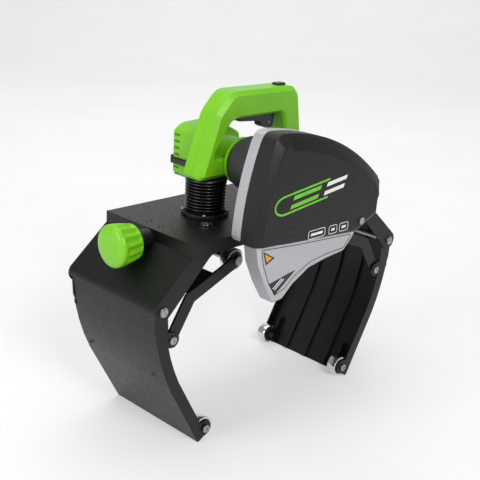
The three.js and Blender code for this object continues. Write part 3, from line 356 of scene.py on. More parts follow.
def loft(name, loops, *materials, closed=False):
    """Loops of as many places each, joined in order. The ends are capped, or joined if closed."""
    bm = bmesh.new()
    rows = [[bm.verts.new(p) for p in loop] for loop in loops]
    count = len(rows[0])
    pairs = list(zip(rows, rows[1:])) + ([(rows[-1], rows[0])] if closed else [])
    for low, high in pairs:
        for i in range(count):
            j = (i + 1) % count
            bm.faces.new((low[i], low[j], high[j], high[i]))
    if not closed:
        bm.faces.new(rows[0][::-1])
        bm.faces.new(rows[-1])
    return from_bmesh(name, bm, *materials)


def plate(name, outline, y0, y1, *materials):
    """An outline of [x, z] points filled between two depths."""
    return loft(name, [[point(x, y, z) for x, z in outline] for y in (y0, y1)], *materials)


def turned(name, axis, profile, centre, *materials, segments=64, shape=None):
    """A profile of [radius, distance] about an axis. One that ends on the axis is closed there, and one that
    doesn't is closed onto itself. shape(angle, distance) scales the radius."""
    bm = bmesh.new()
    axes = {"x": (Vector((0, 1, 0)), Vector((0, 0, 1)), Vector((1, 0, 0))),
            "y": (Vector((0, 0, 1)), Vector((1, 0, 0)), Vector((0, 1, 0))),
            "z": (Vector((1, 0, 0)), Vector((0, 1, 0)), Vector((0, 0, 1)))}
    side, up, way = axes[axis]
    hub = Vector(centre)
    rows = []
    for radius, distance in profile:
        if radius == 0:
            rows.append([bm.verts.new(point(*(hub + way * distance)))])
            continue
        row = []
        for i in range(segments):
            a = 2 * math.pi * i / segments
            r = radius * (shape(a, distance) if shape else 1)
            place = hub + way * distance + side * r * math.cos(a) + up * r * math.sin(a)
            row.append(bm.verts.new(point(*place)))
        rows.append(row)
    pairs = list(zip(rows, rows[1:]))
    if len(rows[0]) > 1 and len(rows[-1]) > 1:
        pairs.append((rows[-1], rows[0]))
    for low, high in pairs:
        for i in range(segments):
            j = (i + 1) % segments
            ring = [low[i % len(low)], low[j % len(low)], high[j % len(high)], high[i % len(high)]]
            bm.faces.new(list(dict.fromkeys(ring)))
    return from_bmesh(name, bm, *materials)


def applied(piece):
    """The piece with its modifiers made real."""
    graph = bpy.context.evaluated_depsgraph_get()
    mesh = bpy.data.meshes.new_from_object(piece.evaluated_get(graph))
    piece.modifiers.clear()
    piece.data = mesh
    return piece


def cut(piece, *tools):
    """The piece with each tool's space taken out of it; the tools are removed."""
    for tool in tools:
        step = piece.modifiers.new("cut", "BOOLEAN")
        step.operation = "DIFFERENCE"
        step.solver = "EXACT"
        step.object = tool
        applied(piece)
        bpy.data.objects.remove(tool)
    return piece


def eased(piece, width, segments=2, limit=35, widths=None):
    """Rounds the edges sharper than the limit to a width. widths(edge middle, edge length) may give an edge
    its own width. All are drawing millimetres."""
    bm = bmesh.new()
    bm.from_mesh(piece.data)
    bmesh.ops.dissolve_limit(bm, angle_limit=math.radians(0.6), verts=bm.verts, edges=bm.edges)
    layer = bm.edges.layers.float.new("bevel_weight_edge")
    widest = width
    asked = {}
    for edge in bm.edges:
        if len(edge.link_faces) == 2 and edge.calc_face_angle(0) > math.radians(limit):
            centre = drawn((edge.verts[0].co + edge.verts[1].co) / 2)
            asked[edge] = widths(centre, edge.calc_length() / MM) if widths else width
            widest = max(widest, asked[edge])
    for edge, value in asked.items():
        edge[layer] = value / widest
    bm.to_mesh(piece.data)
    bm.free()
    round_off = piece.modifiers.new("round", "BEVEL")
    round_off.width = widest * MM
    round_off.segments = segments
    round_off.limit_method = "WEIGHT"
    round_off.miter_outer = "MITER_ARC"
    round_off.use_clamp_overlap = True
    even = piece.modifiers.new("even", "WEIGHTED_NORMAL")
    even.keep_sharp = True
    piece.data.shade_smooth()
    piece.data.set_sharp_from_angle(angle=math.radians(50))
    return applied(piece)


def smooth(piece, angle=38):
    piece.data.shade_smooth()
    piece.data.set_sharp_from_angle(angle=math.radians(angle))
    return piece


def copied(node, name, finish):
    """The CAD node's shape as a new piece of merged faces, to be refined."""
    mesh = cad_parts[node].data.copy()
    mesh.materials.clear()
    bm = bmesh.new()
    bm.from_mesh(mesh)
    bmesh.ops.remove_doubles(bm, verts=bm.verts, dist=2e-6)
    bm.to_mesh(mesh)
    bm.free()
    for attribute in [a.name for a in mesh.attributes if a.name == "custom_normal"]:
        mesh.attributes.remove(mesh.attributes[attribute])
    return as_object(name, mesh, finish)


def settle(piece, body, slot, *nodes):
    """Puts the finished piece on its body and hides the CAD nodes that it stands for; the slot is not used.
    """
    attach(piece, body)
    if nodes:
        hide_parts(*nodes)
    return piece


def refined(node, name, finish, body, slot, width, segments, limit, shortest=0.0):
    """The CAD node's shape with its edges eased, apart from those no longer than shortest millimetres."""
    piece = eased(copied(node, name, finish), width, segments, limit,
                  lambda centre, length: width if length > shortest else 0)
    return settle(piece, body, slot, node)


# ---------- what repeats: socket screws, made by geometry nodes ----------
def socket_screw_tree():
    """A round screw head with a hexagon socket on each point, facing along the point's own direction."""
    tree = bpy.data.node_groups.new("socket screws", "GeometryNodeTree")
    tree.interface.new_socket("Points", in_out="INPUT", socket_type="NodeSocketGeometry")
    for name in ("Head Radius", "Head Height", "Socket Radius"):
        tree.interface.new_socket(name, in_out="INPUT", socket_type="NodeSocketFloat")
    tree.interface.new_socket("Finish", in_out="INPUT", socket_type="NodeSocketMaterial")
    tree.interface.new_socket("Screws", in_out="OUTPUT", socket_type="NodeSocketGeometry")
    given = put(tree, "NodeGroupInput").outputs
    rim = put(tree, "ShaderNodeMath", {1: 0.86}, {0: given["Head Radius"]}, operation="MULTIPLY")
    skirt_height = put(tree, "ShaderNodeMath", {1: 0.72}, {0: given["Head Height"]}, operation="MULTIPLY")
    skirt = put(tree, "GeometryNodeMeshCylinder", {"Vertices": 28},
                {"Radius": given["Head Radius"], "Depth": skirt_height.outputs[0]})
    crown = put(tree, "GeometryNodeMeshCone", {"Vertices": 28},
                {"Radius Top": rim.outputs[0], "Radius Bottom": given["Head Radius"]})
    crown_height = put(tree, "ShaderNodeMath", {1: 0.28}, {0: given["Head Height"]}, operation="MULTIPLY")
    tree.links.new(crown_height.outputs[0], crown.inputs["Depth"])
    half_skirt = put(tree, "ShaderNodeMath", {1: 0.5}, {0: skirt_height.outputs[0]}, operation="MULTIPLY")
    lift = put(tree, "ShaderNodeCombineXYZ", links={"Z": half_skirt.outputs[0]})
    raised = put(tree, "ShaderNodeCombineXYZ", links={"Z": skirt_height.outputs[0]})
    low = put(tree, "GeometryNodeTransform",
              links={"Geometry": skirt.outputs["Mesh"], "Translation": lift.outputs[0]})
    high = put(tree, "GeometryNodeTransform",
               links={"Geometry": crown.outputs["Mesh"], "Translation": raised.outputs[0]})
    socket = put(tree, "GeometryNodeMeshCylinder", {"Vertices": 6},
                 {"Radius": given["Socket Radius"], "Depth": given["Head Height"]})
    socket_place = put(tree, "ShaderNodeCombineXYZ", links={"Z": given["Head Height"]})
    recess = put(tree, "GeometryNodeTransform",
                 links={"Geometry": socket.outputs["Mesh"], "Translation": socket_place.outputs[0]})
    whole = put(tree, "GeometryNodeMeshBoolean", operation="UNION", solver="EXACT")
    tree.links.new(low.outputs["Geometry"], whole.inputs["Mesh 2"])
    tree.links.new(high.outputs["Geometry"], whole.inputs["Mesh 2"])
    head = put(tree, "GeometryNodeMeshBoolean", operation="DIFFERENCE", solver="EXACT",
               links={"Mesh 1": whole.outputs["Mesh"], "Mesh 2": recess.outputs["Geometry"]})
    facing = put(tree, "GeometryNodeInputNamedAttribute", {"Name": "facing"}, data_type="FLOAT_VECTOR")
    turn = put(tree, "FunctionNodeAlignRotationToVector",
               links={"Vector": facing.outputs["Attribute"]}, axis="Z")
    placed = put(tree, "GeometryNodeInstanceOnPoints",
                 links={"Points": given["Points"], "Instance": head.outputs["Mesh"],
                        "Rotation": turn.outputs["Rotation"]})
    real = put(tree, "GeometryNodeRealizeInstances", links={"Geometry": placed.outputs["Instances"]})
    finished = put(tree, "GeometryNodeSetMaterial",
                   links={"Geometry": real.outputs["Geometry"], "Material": given["Finish"]})
    put(tree, "NodeGroupOutput", links={"Screws": finished.outputs["Geometry"]})
    return tree


SOCKET_SCREWS = socket_screw_tree()


def grown(name, tree, places, facings, **inputs):
    """A plain mesh that the geometry node tree grows on the places, which are in the row frame."""
    mesh = bpy.data.meshes.new(name)
    mesh.from_pydata([tuple(p) for p in places], [], [])
    if facings:
        direction = mesh.attributes.new("facing", "FLOAT_VECTOR", "POINT")
        direction.data.foreach_set("vector", [c for f in facings for c in f])
    made = as_object(name, mesh)
    step = made.modifiers.new("grow", "NODES")
    step.node_group = tree
    sockets = {s.name: s.identifier for s in tree.interface.items_tree if s.in_out == "INPUT"}
    for key, value in inputs.items():
        step[sockets[key.replace("_", " ")]] = value
    return applied(made)


def screws(name, body, places, facings, radius, height, socket, finish=ZINC, slot="zinc_steel"):
    made = grown(name, SOCKET_SCREWS, [point(*p) for p in places], facings,
                 Head_Radius=radius * MM, Head_Height=height * MM, Socket_Radius=socket * MM, Finish=finish)
    smooth(made, 40)
    return settle(made, body, slot)


# ---------- saddle, jaws and links ----------
def saddle():
    high = drawn_box("frame_shell")[1]
    deck_top, deck_end = high.z, 208
    corner_round = 3.4

    def widths(centre, length):
        if length < 3:
            return 0
        at_deck_end = abs(abs(centre.x) - deck_end) < 1.5 and abs(centre.z - deck_top) < 1
        at_shoulder = abs(abs(centre.x) - deck_end) < 1.5 and abs(centre.z - (deck_top - 18)) < 2
        along_edge = abs(centre.z - deck_top) < 0.5 and (centre.y < 1 or centre.y > high.y - 1)
        return corner_round if at_deck_end or at_shoulder else 2.2 if along_edge else 1.2
    piece = eased(copied("frame_shell", "saddle_shell", STEEL), corner_round, 4, 30, widths)
    settle(piece, "frame", "black_steel", "frame_shell")


def steel_parts():
    """Bent and welded steel parts keep their CAD shape and get the small radii of pressed sheet."""
    for node, name, body in (("left_jaw", "left_jaw_panel", "left_jaw"),
                             ("right_jaw", "right_jaw_panel", "right_jaw"),
                             ("left_link_frame", "left_link_arms", "left_link"),
                             ("right_link_frame", "right_link_arms", "right_link"),
                             ("hinge_bracket", "hinge_ears", "frame"),
                             ("knob_collar", "knob_neck", "frame"),
                             ("screw_end_bearing", "screw_end_block", "frame")):
        refined(node, name, STEEL, body, "black_steel", 0.8, 2, 35, shortest=2.6)


def panel_face(side, z):
    """How far out a jaw panel's outer face stands at a height: the bowed sheet's furthest place there."""
    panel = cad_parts["left_jaw" if side < 0 else "right_jaw"].data
    crossings = []
    for polygon in panel.polygons:
        corners = [drawn(panel.vertices[v].co) for v in polygon.vertices]
        for a, b in zip(corners, corners[1:] + corners[:1]):
            if (a.z - z) * (b.z - z) <= 0 and abs(a.z - b.z) > 1e-6:
                crossings.append(a.x + (b.x - a.x) * (z - a.z) / (b.z - a.z))
    return max(crossings, key=lambda x: x * side)


def jaw_plugs():
    """Two small black plugs close the tapped holes in each jaw panel's outer face."""
    profile = [(0, 0.9), (2.4, 0.9), (3.4, 0.5), (3.6, 0), (3.6, -1.5), (0, -1.5)]
    reach = 5
    for side, body in ((-1, "left_jaw"), (1, "right_jaw")):
        for name, y, z in (("front", 32, -114), ("rear", 190, -119)):
            x = panel_face(side, z)
            rise = panel_face(side, z - reach) - panel_face(side, z + reach)
            slope = math.atan2(rise, 2 * reach) * -side
            plug = turned(f"{body}_{name}_plug", "x", profile, (0, 0, 0), RUBBER, segments=24)
            for step in (Matrix.Translation(-point(0, 0, 0)),
                         Matrix.Rotation(math.pi if side < 0 else 0, 4, "Z"),
                         Matrix.Rotation(slope, 4, "Y"),
                         Matrix.Translation(point(x, y, z))):
                plug.data.transform(step)
            settle(smooth(plug), body, "black_rubber")


def bearings():
    """Each sealed ball bearing: bright outer and inner race with a recessed black seal between them."""
    bore, inner, wall, dip, bevel = 6.3, 9.6, 3.6, 1.1, 0.4
    for node in [f"{side}_{end}_{kind}" for side in ("left", "right") for end in ("front", "rear")
                 for kind in ("tip_roller", "wheel")]:
        low, high = drawn_box(node)
        centre = (low + high) / 2
        radius, half = (high.z - low.z) / 2, (high.y - low.y) / 2
        outer = radius - wall
        race = [(outer, -half + bevel), (outer + bevel, -half), (radius - 1, -half),
                (radius - 0.3, -half + 0.3), (radius, -half + 1), (radius, half - 1),
                (radius - 0.3, half - 0.3), (radius - 1, half), (outer + bevel, half), (outer, half - bevel)]
        seal = [(inner, -half + dip), (outer, -half + dip), (outer, half - dip), (inner, half - dip)]
        hub = [(bore, -half), (inner - bevel, -half), (inner, -half + bevel), (inner, half - bevel),
               (inner - bevel, half), (bore, half)]
        settle(smooth(turned(f"{node}_race", "y", race, centre, RACE)), node, "bearing_steel", node)
        settle(smooth(turned(f"{node}_seal", "y", seal, centre, SEAL)), node, "black_rubber")
        settle(smooth(turned(f"{node}_hub", "y", hub, centre, RACE)), node, "bearing_steel")


def joint_screws():
    """Socket heads on the jaw pivots, link bolts and tip axles."""
    front, rear = (0, -1, 0), (0, 1, 0)
    pins = {side: drawn(middle(f"{side}_pivot_pin")) for side in ("left", "right")}
    low, high = drawn_box("left_pivot_pin")
    places = [(p.x, y, p.z) for p in pins.values() for y in (low.y, high.y)]
    screws("pivot_socket_heads", "frame", places, [front, rear] * 2, 6.2, 1.6, 2.6)
    for side in ("left", "right"):
        places, facings = [], []
        for end, facing in (("front", front), ("rear", rear)):
            for kind in ("link_bolt", "tip_axle"):
                low, high = drawn_box(f"{side}_{end}_{kind}")
                y = low.y if end == "front" else high.y
                places.append(((low.x + high.x) / 2, y, (low.z + high.z) / 2))
                facings.append(facing)
        screws(f"{side}_jaw_socket_heads", f"{side}_jaw", places, facings, 6.4, 2.2, 2.6)


# ---------- knob ----------
def knob():
    """Turned body with a crowned face and finger grooves that fade out before the domed rear end."""
    low, high = drawn_box("adjust_knob")
    crown = 3.5
    front = low.x - crown
    length, radius = high.x - front, (high.y - low.y) / 2
    centre = (front, (low.y + high.y) / 2, (low.z + high.z) / 2)
    grooves, depth = 14, 0.11

    def ease(t):
        t = max(0.0, min(1.0, t))
        return t * t * (3 - 2 * t)

    def fingers(angle, distance):
        t = distance / length
        share = ease((t - 0.2) / 0.1) * (1 - ease((t - 0.74) / 0.16))
        return 1 - depth * share * (0.5 + 0.5 * math.cos(grooves * angle)) ** 0.8
    face = [(0, 0), (0.3, 0.003), (0.55, 0.012), (0.74, 0.03), (0.86, 0.055), (0.93, 0.085), (0.975, 0.12),
            (0.995, 0.16)]
    body = [(1.0 - 0.3 * max(0.0, t - 0.2) ** 1.7, t) for t in [0.2 + 0.022 * k for k in range(32)]]
    tail = [(0.76, 0.925), (0.7, 0.955), (0.62, 0.98), (0.5, 0.997), (0.4, 1.0), (0, 1.0)]
    profile = [(r * radius, t * length) for r, t in face + body + tail]
    piece = turned("grip_knob", "x", profile, centre, LIME, segments=280, shape=fingers)
    settle(smooth(piece, 60), "adjuster", "green_plastic", "adjust_knob")


# ---------- bellows ----------
def bellows():
    low, high = drawn_box("bellows")
    radius = (high.x - low.x) / 2
    centre = ((low.x + high.x) / 2, (low.y + high.y) / 2, 0)
    cuff, foot = 5.0, 3.5
    pleats = 9
    valley = radius - 5.4
    outer = [(radius - 1.2, low.z), (radius - 0.2, low.z + 0.8), (radius - 0.2, low.z + foot - 0.8)]
    pitch = (high.z - low.z - cuff - foot) / pleats
    for i in range(pleats):
        base = low.z + foot + i * pitch
        for k in range(8):
            t = k / 8
            crest = math.sin(math.pi * t) ** 0.55
            outer.append((valley + (radius - valley) * crest, base + pitch * t))
    outer += [(valley, high.z - cuff), (radius + 0.6, high.z - cuff + 0.8),
              (radius + 0.9, high.z - cuff + 2), (radius + 0.6, high.z - 0.8), (radius - 1, high.z)]
    bore = valley - 2
    profile = outer + [(bore, high.z), (bore, low.z)]
    piece = smooth(turned("bellows_sleeve", "z", profile, centre, RUBBER, segments=96), 70)
    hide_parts("bellows")
    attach(piece, "frame")
    point(centre[0], centre[1], low.z)
    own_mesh(piece)


def spring():
    """The return spring inside the sleeve, which the saw head squeezes as it comes down: a smooth shaded
    copy of the CAD coil, fixed to the frame.
    """
    low = drawn_box("return_spring")[0]
    piece = copied("return_spring", "return_spring_coil", ZINC)
    piece.data.shade_smooth()
    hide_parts("return_spring")
    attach(piece, "frame")
    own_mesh(piece)


def bellows_foot():
    """Ring that clamps the sleeve to the deck, with four screws."""
    low, high = drawn_box("bellows_base")
    centre = ((low.x + high.x) / 2, (low.y + high.y) / 2, 0)
    refined("bellows_base", "bellows_clamp_ring", GRAINED, "frame", "black_plastic", 0.9, 2, 30, shortest=2)
    radius = (high.x - low.x) / 2 - 2.6
    places = [(centre[0] + radius * math.cos(a), centre[1] + radius * math.sin(a), low.z + 5.4)
              for a in (math.radians(45 + 90 * k) for k in range(4))]
    screws("bellows_ring_screws", "frame", places, [(0, 0, 1)] * 4, 3.0, 2.0, 1.4)


def plunge_stop():
    """Rounded rubber buffer on the deck that the saw head lands on."""
    deck = drawn(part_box("frame_shell")[1]).z
    profile = [(0, 9.5), (4, 9.1), (7, 7.8), (8.6, 5.6), (9, 3), (9, 1.4), (11, 1.2), (11.6, 0.8),
               (11.6, 0.3), (0, 0.3)]
    piece = turned("plunge_buffer", "z", profile, (-136, 54, deck), RUBBER, segments=48)
    settle(smooth(piece, 45), "frame", "black_rubber")


# ---------- saw head ----------
def moulded_shells():
    """Handle halves, gear case and motor housing: CAD shapes with the radii of moulded and cast parts."""
    parting, seam = 103.65, 0.3

    def handle_width(centre, length):
        if length < 3.2:
            return 0
        return seam if abs(centre.y - parting) < 0.4 else 1.1

    for end in ("front", "rear"):
        node = f"handle_{end}_shell"
        half = eased(copied(node, f"handle_{end}_half", LIME), 1.1, 2, 22, handle_width)
        settle(half, "saw_head", "green_plastic", node)
    refined("gear_case", "gear_casting", CASTING, "saw_head", "grey_casting", 2.2, 3, 30)
    refined("motor_housing", "motor_shell", LIME, "saw_head", "green_plastic", 1.4, 2, 32, shortest=5)
    refined("bumper_band", "bumper_strip", RUBBER, "saw_head", "black_rubber", 1.8, 3, 30)
    refined("cord_inlet", "inlet_sleeve", RUBBER, "saw_head", "black_rubber", 0.6, 2, 30)


def switchgear():
    refined("trigger", "trigger_lever", POLISHED, "trigger", "black_plastic", 1.0, 3, 30, shortest=1.5)
    refined("lock_off_button", "lock_off_key", POLISHED, "lock_off_button", "black_plastic", 1.2, 3, 30)
    low, high = drawn_box("trigger")
    screws("trigger_screw", "trigger", [(high.x - 12, low.y, low.z + 9)], [(0, -1, 0)], 1.9, 0.8, 0.9)


# ---------- guards ----------
MOUTH = 30        # stations along the cover's lower edge, which stays open for blade and lower guard


def cover_stations():
    """The cover's rim outline, its front panel's outline, and the depth of the slope between them, as lists
    of as many stations each."""
    back_low, back_high = drawn_box("guard_back_plate")
    left, top, nose = back_low.x, back_high.z, back_high.x
    floor = 90
    rim_low, rim_high = (left, floor), (left + 31, top - 16)
    peak, end = (left + 54, top), (nose - 4, 153)
    panel_low, panel_high = (left + 9, floor + 1), (left + 42, top - 21)
    panel_peak, panel_end = (left + 60, top - 21.5), (nose - 19, 140)
    rim, panel, depth = [], [], []

    def add(a, b, deep):
        rim.extend(a)
        panel.extend(b)
        depth.extend(deep)
    side = 14
    add([rim_low] + bow(rim_low, rim_high, 6.4, side),
        [panel_low] + bow(panel_low, panel_high, 5.6, side), [9] * side)
    corner = 12
    add(arc_between(rim_high, (left + 37, top + 0.5), peak, corner),
        arc_between(panel_high, (left + 47, top - 13), panel_peak, corner),
        [9 + 4 * k / corner for k in range(corner)])
    arch = 30
    add([peak] + bow(peak, end, 22, arch), [panel_peak] + bow(panel_peak, panel_end, 17, arch), [13] * arch)
    nose_corners = [end, (nose, 146), (nose, 126), (nose - 8, 120), (nose - 9, 93)]
    panel_nose = [panel_end, (nose - 15, 134), (nose - 13, 126), (nose - 16, 119), (nose - 17, 99)]
    for k in range(4):
        add(along(nose_corners[k], nose_corners[k + 1], 4), along(panel_nose[k], panel_nose[k + 1], 4),
            [13 - k] * 4)
    bottom, panel_bottom = (left + 226, 73), (left + 224, 78)
    add(along(nose_corners[4], bottom, 8), along(panel_nose[4], panel_bottom, 8),
        [6 - 3 * k / 8 for k in range(8)])
    add(along(bottom, rim_low, MOUTH), along(panel_bottom, panel_low, MOUTH),
        [3 + 6 * max(0, k - 22) / 8 for k in range(MOUTH)])
    return rim, panel, depth


def arc_between(start, control, end, count):
    """Count points from start towards end on a curve drawn to the control corner."""
    points = []
    for k in range(count):
        t = k / count
        a, b, c = (1 - t) ** 2, 2 * t * (1 - t), t * t
        points.append(tuple(a * start[i] + b * control[i] + c * end[i] for i in (0, 1)))
    return points


def guard_cover():
    """Moulded cover: side wall, sloped shoulder that widens along the arch, and a flat front panel."""
    low, high = drawn_box("guard_cover")
    front, back = low.y + 0.02, high.y
    rim, panel, depth = cover_stations()
    count = len(rim)

    def row(share, y_of):
        return [point(a[0] + (b[0] - a[0]) * share, y_of(d), a[1] + (b[1] - a[1]) * share)
                for a, b, d in zip(rim, panel, depth)]
    loops = [row(0, lambda d: back), row(0, lambda d: back - 0.6)]
    loops += [row(0, lambda d, k=k: back - 1 + (front + d + 1.6 - back) * k / 5) for k in range(1, 6)]
    loops += [row(0.02, lambda d: front + d + 0.4), row(0.07, lambda d: front + d * 0.93)]
    loops += [row(s, lambda d, s=s: front + d * (1 - s)) for s in (0.3, 0.6, 0.9)]
    loops += [row(0.97, lambda d: front + d * 0.045), row(1.03, lambda d: front)]
    bm = bmesh.new()
    rows = [[bm.verts.new(p) for p in loop] for loop in loops]
    mouth_start = count - MOUTH
    for level, (a, b) in enumerate(zip(rows, rows[1:])):
        for i in range(count):
            if i >= mouth_start + 2 and i < count - 1 and level < 7:
                continue
            j = (i + 1) % count
            bm.faces.new((a[i], a[j], b[j], b[i]))
    centre = bm.verts.new(sum((v.co for v in rows[-1]), Vector()) / count)
    inner = [[bm.verts.new(v.co.lerp(centre.co, s)) for v in rows[-1]] for s in (0.03, 0.35, 0.7)]
    for a, b in zip([rows[-1]] + inner, inner):
        for i in range(count):
            j = (i + 1) % count
            bm.faces.new((a[i], a[j], b[j], b[i]))
    for i in range(count):
        bm.faces.new((inner[-1][i], inner[-1][(i + 1) % count], centre))
    loose = [v for v in bm.verts if not v.link_faces]
    bmesh.ops.delete(bm, geom=loose, context="VERTS")
    bmesh.ops.recalc_face_normals(bm, faces=bm.faces)
    outward = sum(f.normal.y * f.calc_area() for f in bm.faces)
    if outward > 0:
        bmesh.ops.reverse_faces(bm, faces=bm.faces)
    mesh = bpy.data.meshes.new("cover_moulding")
    bm.to_mesh(mesh)
    bm.free()
    piece = as_object("cover_moulding", mesh, GRAINED)
    wall = piece.modifiers.new("wall", "SOLIDIFY")
    wall.thickness = 1.2 * MM
    wall.offset = -1
    applied(piece)
    settle(smooth(piece, 30), "saw_head", "black_plastic", "guard_cover")


def silver_guards():
    """Rim plate and swinging lower guard, with the radii of painted castings."""
    refined("guard_back_plate", "guard_rim", SILVER, "saw_head", "silver_paint", 1.6, 3, 32, shortest=3)
    refined("lower_guard", "swing_guard", SILVER, "lower_guard", "silver_paint", 1.2, 3, 32, shortest=2.5)


def strip(name, path, width, y_front, thickness, finish, closed=False):
    """A thin flat line of constant width that follows a path of [x, z] points on a front face."""
    left, right = [], []
    count = len(path)
    for i, (x, z) in enumerate(path):
        before = path[i - 1] if closed or i else path[i]
        after = path[(i + 1) % count] if closed or i + 1 < count else path[i]
        way = Vector((after[0] - before[0], after[1] - before[1])).normalized()
        left.append((x - way.y * width / 2, z + way.x * width / 2))
        right.append((x + way.y * width / 2, z - way.x * width / 2))
    loops = []
    for a, b in zip(left, right):
        loops.append([point(a[0], y_front, a[1]), point(b[0], y_front, b[1]),
                      point(b[0], y_front + thickness, b[1]), point(a[0], y_front + thickness, a[1])])
    return loft(name, loops, finish, closed=closed)


def cover_graphics():
    """Plain stripes where such a cover carries its printing: a green loop, two bars, three small tags."""
    front = drawn(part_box("guard_cover")[0]).y
    ink = 0.12
    y = front - ink
    slant = 0.12
    cx, cz = -43, 154
    way = Vector((1, slant)).normalized()
    up = Vector((-way.y, way.x))

    def at(u, v):
        return (cx + way.x * u + up.x * v, cz + way.y * u + up.y * v)
    half = 13.5
    loop = [at(42, half)] + [at(-58 - half * math.sin(a) * 1.5, half * math.cos(a))
                             for a in (math.pi * k / 16 for k in range(17))] + [at(36, -half)]
    settle(strip("green_loop_line", loop, 3.0, y, ink + 0.1, GREEN_INK), "saw_head", "green_plastic")
    lean, gap, height = 5, 0.34, 9
    for name, start, length, finish, slot in (("green_bar", -42, 60, GREEN_INK, "green_plastic"),
                                              ("white_bar", 32, 46, WHITE_INK, "silver_paint")):
        corners = [at(start - lean, -height), at(start + length - lean, -height),
                   at(start + length + lean, height), at(start + lean, height)]
        for k, (a, b) in enumerate(((0.0, 0.5 - gap / 2), (0.5 + gap / 2, 1.0))):
            low_left = Vector(corners[0]).lerp(Vector(corners[3]), a)
            low_right = Vector(corners[1]).lerp(Vector(corners[2]), a)
            high_right = Vector(corners[1]).lerp(Vector(corners[2]), b)
            high_left = Vector(corners[0]).lerp(Vector(corners[3]), b)
            outline = [tuple(low_left), tuple(low_right), tuple(high_right), tuple(high_left)]
            settle(plate(f"{name}_{k + 1}", outline, y, front + 0.1, finish), "saw_head", slot)
    tag_slope = -0.02
    for name, x, width in (("model_tag", -24, 38), ("left_tag", 14, 19), ("right_tag", 40, 21)):
        z = 90 + (x + 24) * tag_slope
        box = rounded([(x - width / 2, z - 6.5, 3), (x + width / 2, z - 6.5, 3),
                       (x + width / 2, z + 6.5, 3), (x - width / 2, z + 6.5, 3)], 0.5)
        outline = strip(f"{name}_frame", box, 1.0, y, ink + 0.1, WHITE_INK, closed=True)
        settle(outline, "saw_head", "silver_paint")
        bar = [(x - width / 2 + 5, z - 2), (x + width / 2 - 6, z - 2), (x + width / 2 - 5, z + 2),
               (x - width / 2 + 6, z + 2)]
        settle(plate(f"{name}_bar", bar, y, front + 0.1, WHITE_INK), "saw_head", "silver_paint")


def lower_guard_graphics():
    """A thin dark line of painted shade where the guard's inset groove runs, an amber triangle on black and
    a black corner patch, without lettering.
    """
    low = drawn_box("lower_guard")[0]
    front = low.y
    ink = 0.12
    y = front - ink
    left = low.x
    border = rounded([(left + 7, 85.5, 2), (left + 12, 62, 30), (left + 25, 31, 30), (left + 41, 8.5, 3),
                      (-84, 14, 14), (-66, 28, 20), (-30, 44.5, 30), (12, 49.5, 30), (49, 50.5, 5),
                      (68, 70, 3), (-60, 78.5, 0)], 0.25)
    # The border line is painted shade: a dark strip drawn where the guard's inset groove holds shadow.
    line = strip("guard_groove_shade_line", border, 1.3, y, ink + 0.1, GROOVE_SHADE_INK, closed=True)
    settle(line, "lower_guard", "black_plastic")
    ground = [(-136, 83), (-110.5, 68.5), (-128.8, 60.5)]
    settle(plate("warning_patch", ground, y, front + 0.1, BLACK_INK), "lower_guard", "black_plastic")
    triangle = [(-132.4, 78.6), (-116.2, 69.4), (-127.4, 64.6)]
    settle(plate("warning_triangle", triangle, y - 0.08, front, AMBER_INK), "lower_guard", "green_plastic")
    corner = [(-119.5, 29), (-105.4, 7), (-100.2, 11.6), (-82, 24.5), (-62, 38.5), (-78, 36.5)]
    settle(plate("corner_patch", corner, y, front + 0.1, BLACK_INK), "lower_guard", "black_plastic")
    for k, shift in enumerate((0, 4.2)):
        bar = [(x + shift, z - shift * 0.5) for x, z in ((-111, 20), (-92, 32.5), (-91, 30.9), (-110, 18.4))]
        settle(plate(f"patch_bar_{k + 1}", bar, y - 0.08, front, WHITE_INK), "lower_guard", "silver_paint")


# ---------- hidden and small CAD parts keep their shape and get their finish ----------
def finish_cad_nodes():
    finishes = {ZINC: ["left_pivot_pin", "right_pivot_pin", "adjust_screw", "left_nut_carriage",
                       "right_nut_carriage", "hinge_pin", "spindle", "spindle_gear",
                       "inner_blade_flange", "outer_blade_flange", "blade_nut", "guard_pivot_bolt"],
                IRON: ["stator", "rotor"],
                RACE: ["rotor_front_bearing", "rotor_rear_bearing", "spindle_bearing"],
                POLISHED: ["switch_module", "fan"], BLADE: ["blade"]}
    for side in ("left", "right"):
        for end in ("front", "rear"):
            finishes[ZINC] += [f"{side}_{end}_tip_axle", f"{side}_{end}_link_bolt"]
    for finish, nodes in finishes.items():
        for node in nodes:
            mesh_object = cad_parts[node]
            if not mesh_object.material_slots:
                mesh_object.data.materials.append(finish)
            for slot in mesh_object.material_slots:
                slot.material = finish


# ---------- stage, light and camera ----------
def stage():
    bm = bmesh.new()
    reach, back, radius, steps = 6.0, 3.2, 1.6, 16
    profile = [(-reach, 0.0), (back, 0.0)]
    profile += [(back + radius * math.sin(a), radius - radius * math.cos(a))
                for a in (math.pi / 2 * k / steps for k in range(1, steps + 1))]
    profile.append((back + radius, 5.0))
    way = Vector((0.6777, 0.6596, 0)).normalized()
    side = Vector((way.y, -way.x, 0))
    rows = [[bm.verts.new(way * t + side * s + Vector((0, 0, z))) for s in (-reach, reach)]
            for t, z in profile]
    for a, b in zip(rows, rows[1:]):
        bm.faces.new((a[0], a[1], b[1], b[0]))
    mesh = bpy.data.meshes.new("paper_sweep")
    bm.to_mesh(mesh)
    bm.free()
    mesh.shade_smooth()
    # Translucent paper over a light table: even, pale, and its shadows stay faint.
    floor = as_object("paper_sweep", mesh, material(
        "white paper",
        colour=lambda t: ramp(t, grain(t, 400, 2), 0.3, 0.7, "#BDBDBD", "#C1C1C1"),
        rough=lambda t: span(t, grain(t, 50, 2), 0.85, 0.95),
        Emission_Color=(1, 1, 1, 1), Emission_Strength=0.38, Specular_IOR_Level=0.1))


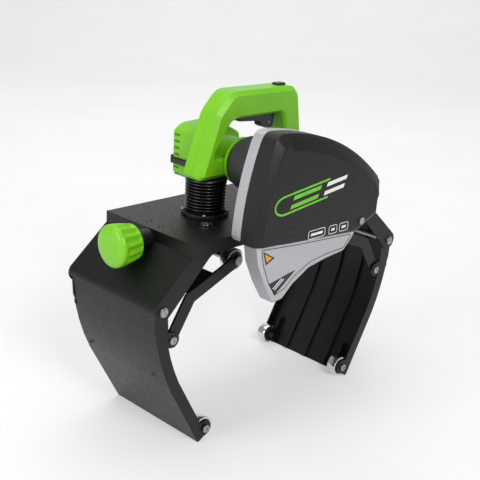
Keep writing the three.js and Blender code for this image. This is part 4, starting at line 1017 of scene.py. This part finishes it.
def softbox(name, place, target, width, height, power):
    light = bpy.data.lights.new(name, "AREA")
    light.shape = "RECTANGLE"
    light.size, light.size_y = width, height
    light.energy = power
    made = bpy.data.objects.new(name, light)
    bpy.context.scene.collection.objects.link(made)
    made.location = place
    made.rotation_mode = "QUATERNION"
    made.rotation_quaternion = (Vector(target) - Vector(place)).to_track_quat("-Z", "Y")


def lights():
    world = bpy.data.worlds.new("studio")
    bpy.context.scene.world = world
    world.use_nodes = True
    world.node_tree.nodes["Background"].inputs["Color"].default_value = (1, 1, 1, 1)
    world.node_tree.nodes["Background"].inputs["Strength"].default_value = 0.33
    heart = (0, 0, 0.25)
    softbox("overhead", (0.2, 0.5, 2.8), heart, 2.6, 2.2, 30)
    softbox("left side", (-2.5, 0.35, 1.25), heart, 1.3, 1.6, 30)
    softbox("front", (-1.1, -2.7, 2.3), heart, 1.2, 1.2, 64)
    softbox("backdrop", (1.2, 1.2, 2.9), (3.0, 3.0, 0.7), 2.4, 1.6, 40)


def camera():
    eye = Vector((-1.0868, -1.01295, 0.7877))
    azimuth, elevation, roll = math.radians(45.77), math.radians(18.96), 0.0554
    forward = Vector((math.sin(azimuth) * math.cos(elevation), math.cos(azimuth) * math.cos(elevation),
                      -math.sin(elevation)))
    level = Vector((math.cos(azimuth), -math.sin(azimuth), 0))
    up = level.cross(forward)
    right = level * math.cos(roll) + up * math.sin(roll)
    top = up * math.cos(roll) - level * math.sin(roll)
    turn = Matrix((right, top, -forward)).transposed()
    seen = bpy.data.cameras.new("camera")
    seen.lens = 71.6
    made = bpy.data.objects.new("camera", seen)
    bpy.context.scene.collection.objects.link(made)
    made.matrix_world = Matrix.Translation(eye) @ turn.to_4x4()
    bpy.context.scene.camera = made


camera()
lights()
stage()
saddle()
steel_parts()
jaw_plugs()
bearings()
joint_screws()
knob()
bellows()
spring()
bellows_foot()
plunge_stop()
moulded_shells()
switchgear()
guard_cover()
silver_guards()
cover_graphics()
lower_guard_graphics()
finish_cad_nodes()
bpy.context.scene.view_settings.view_transform = "Standard"
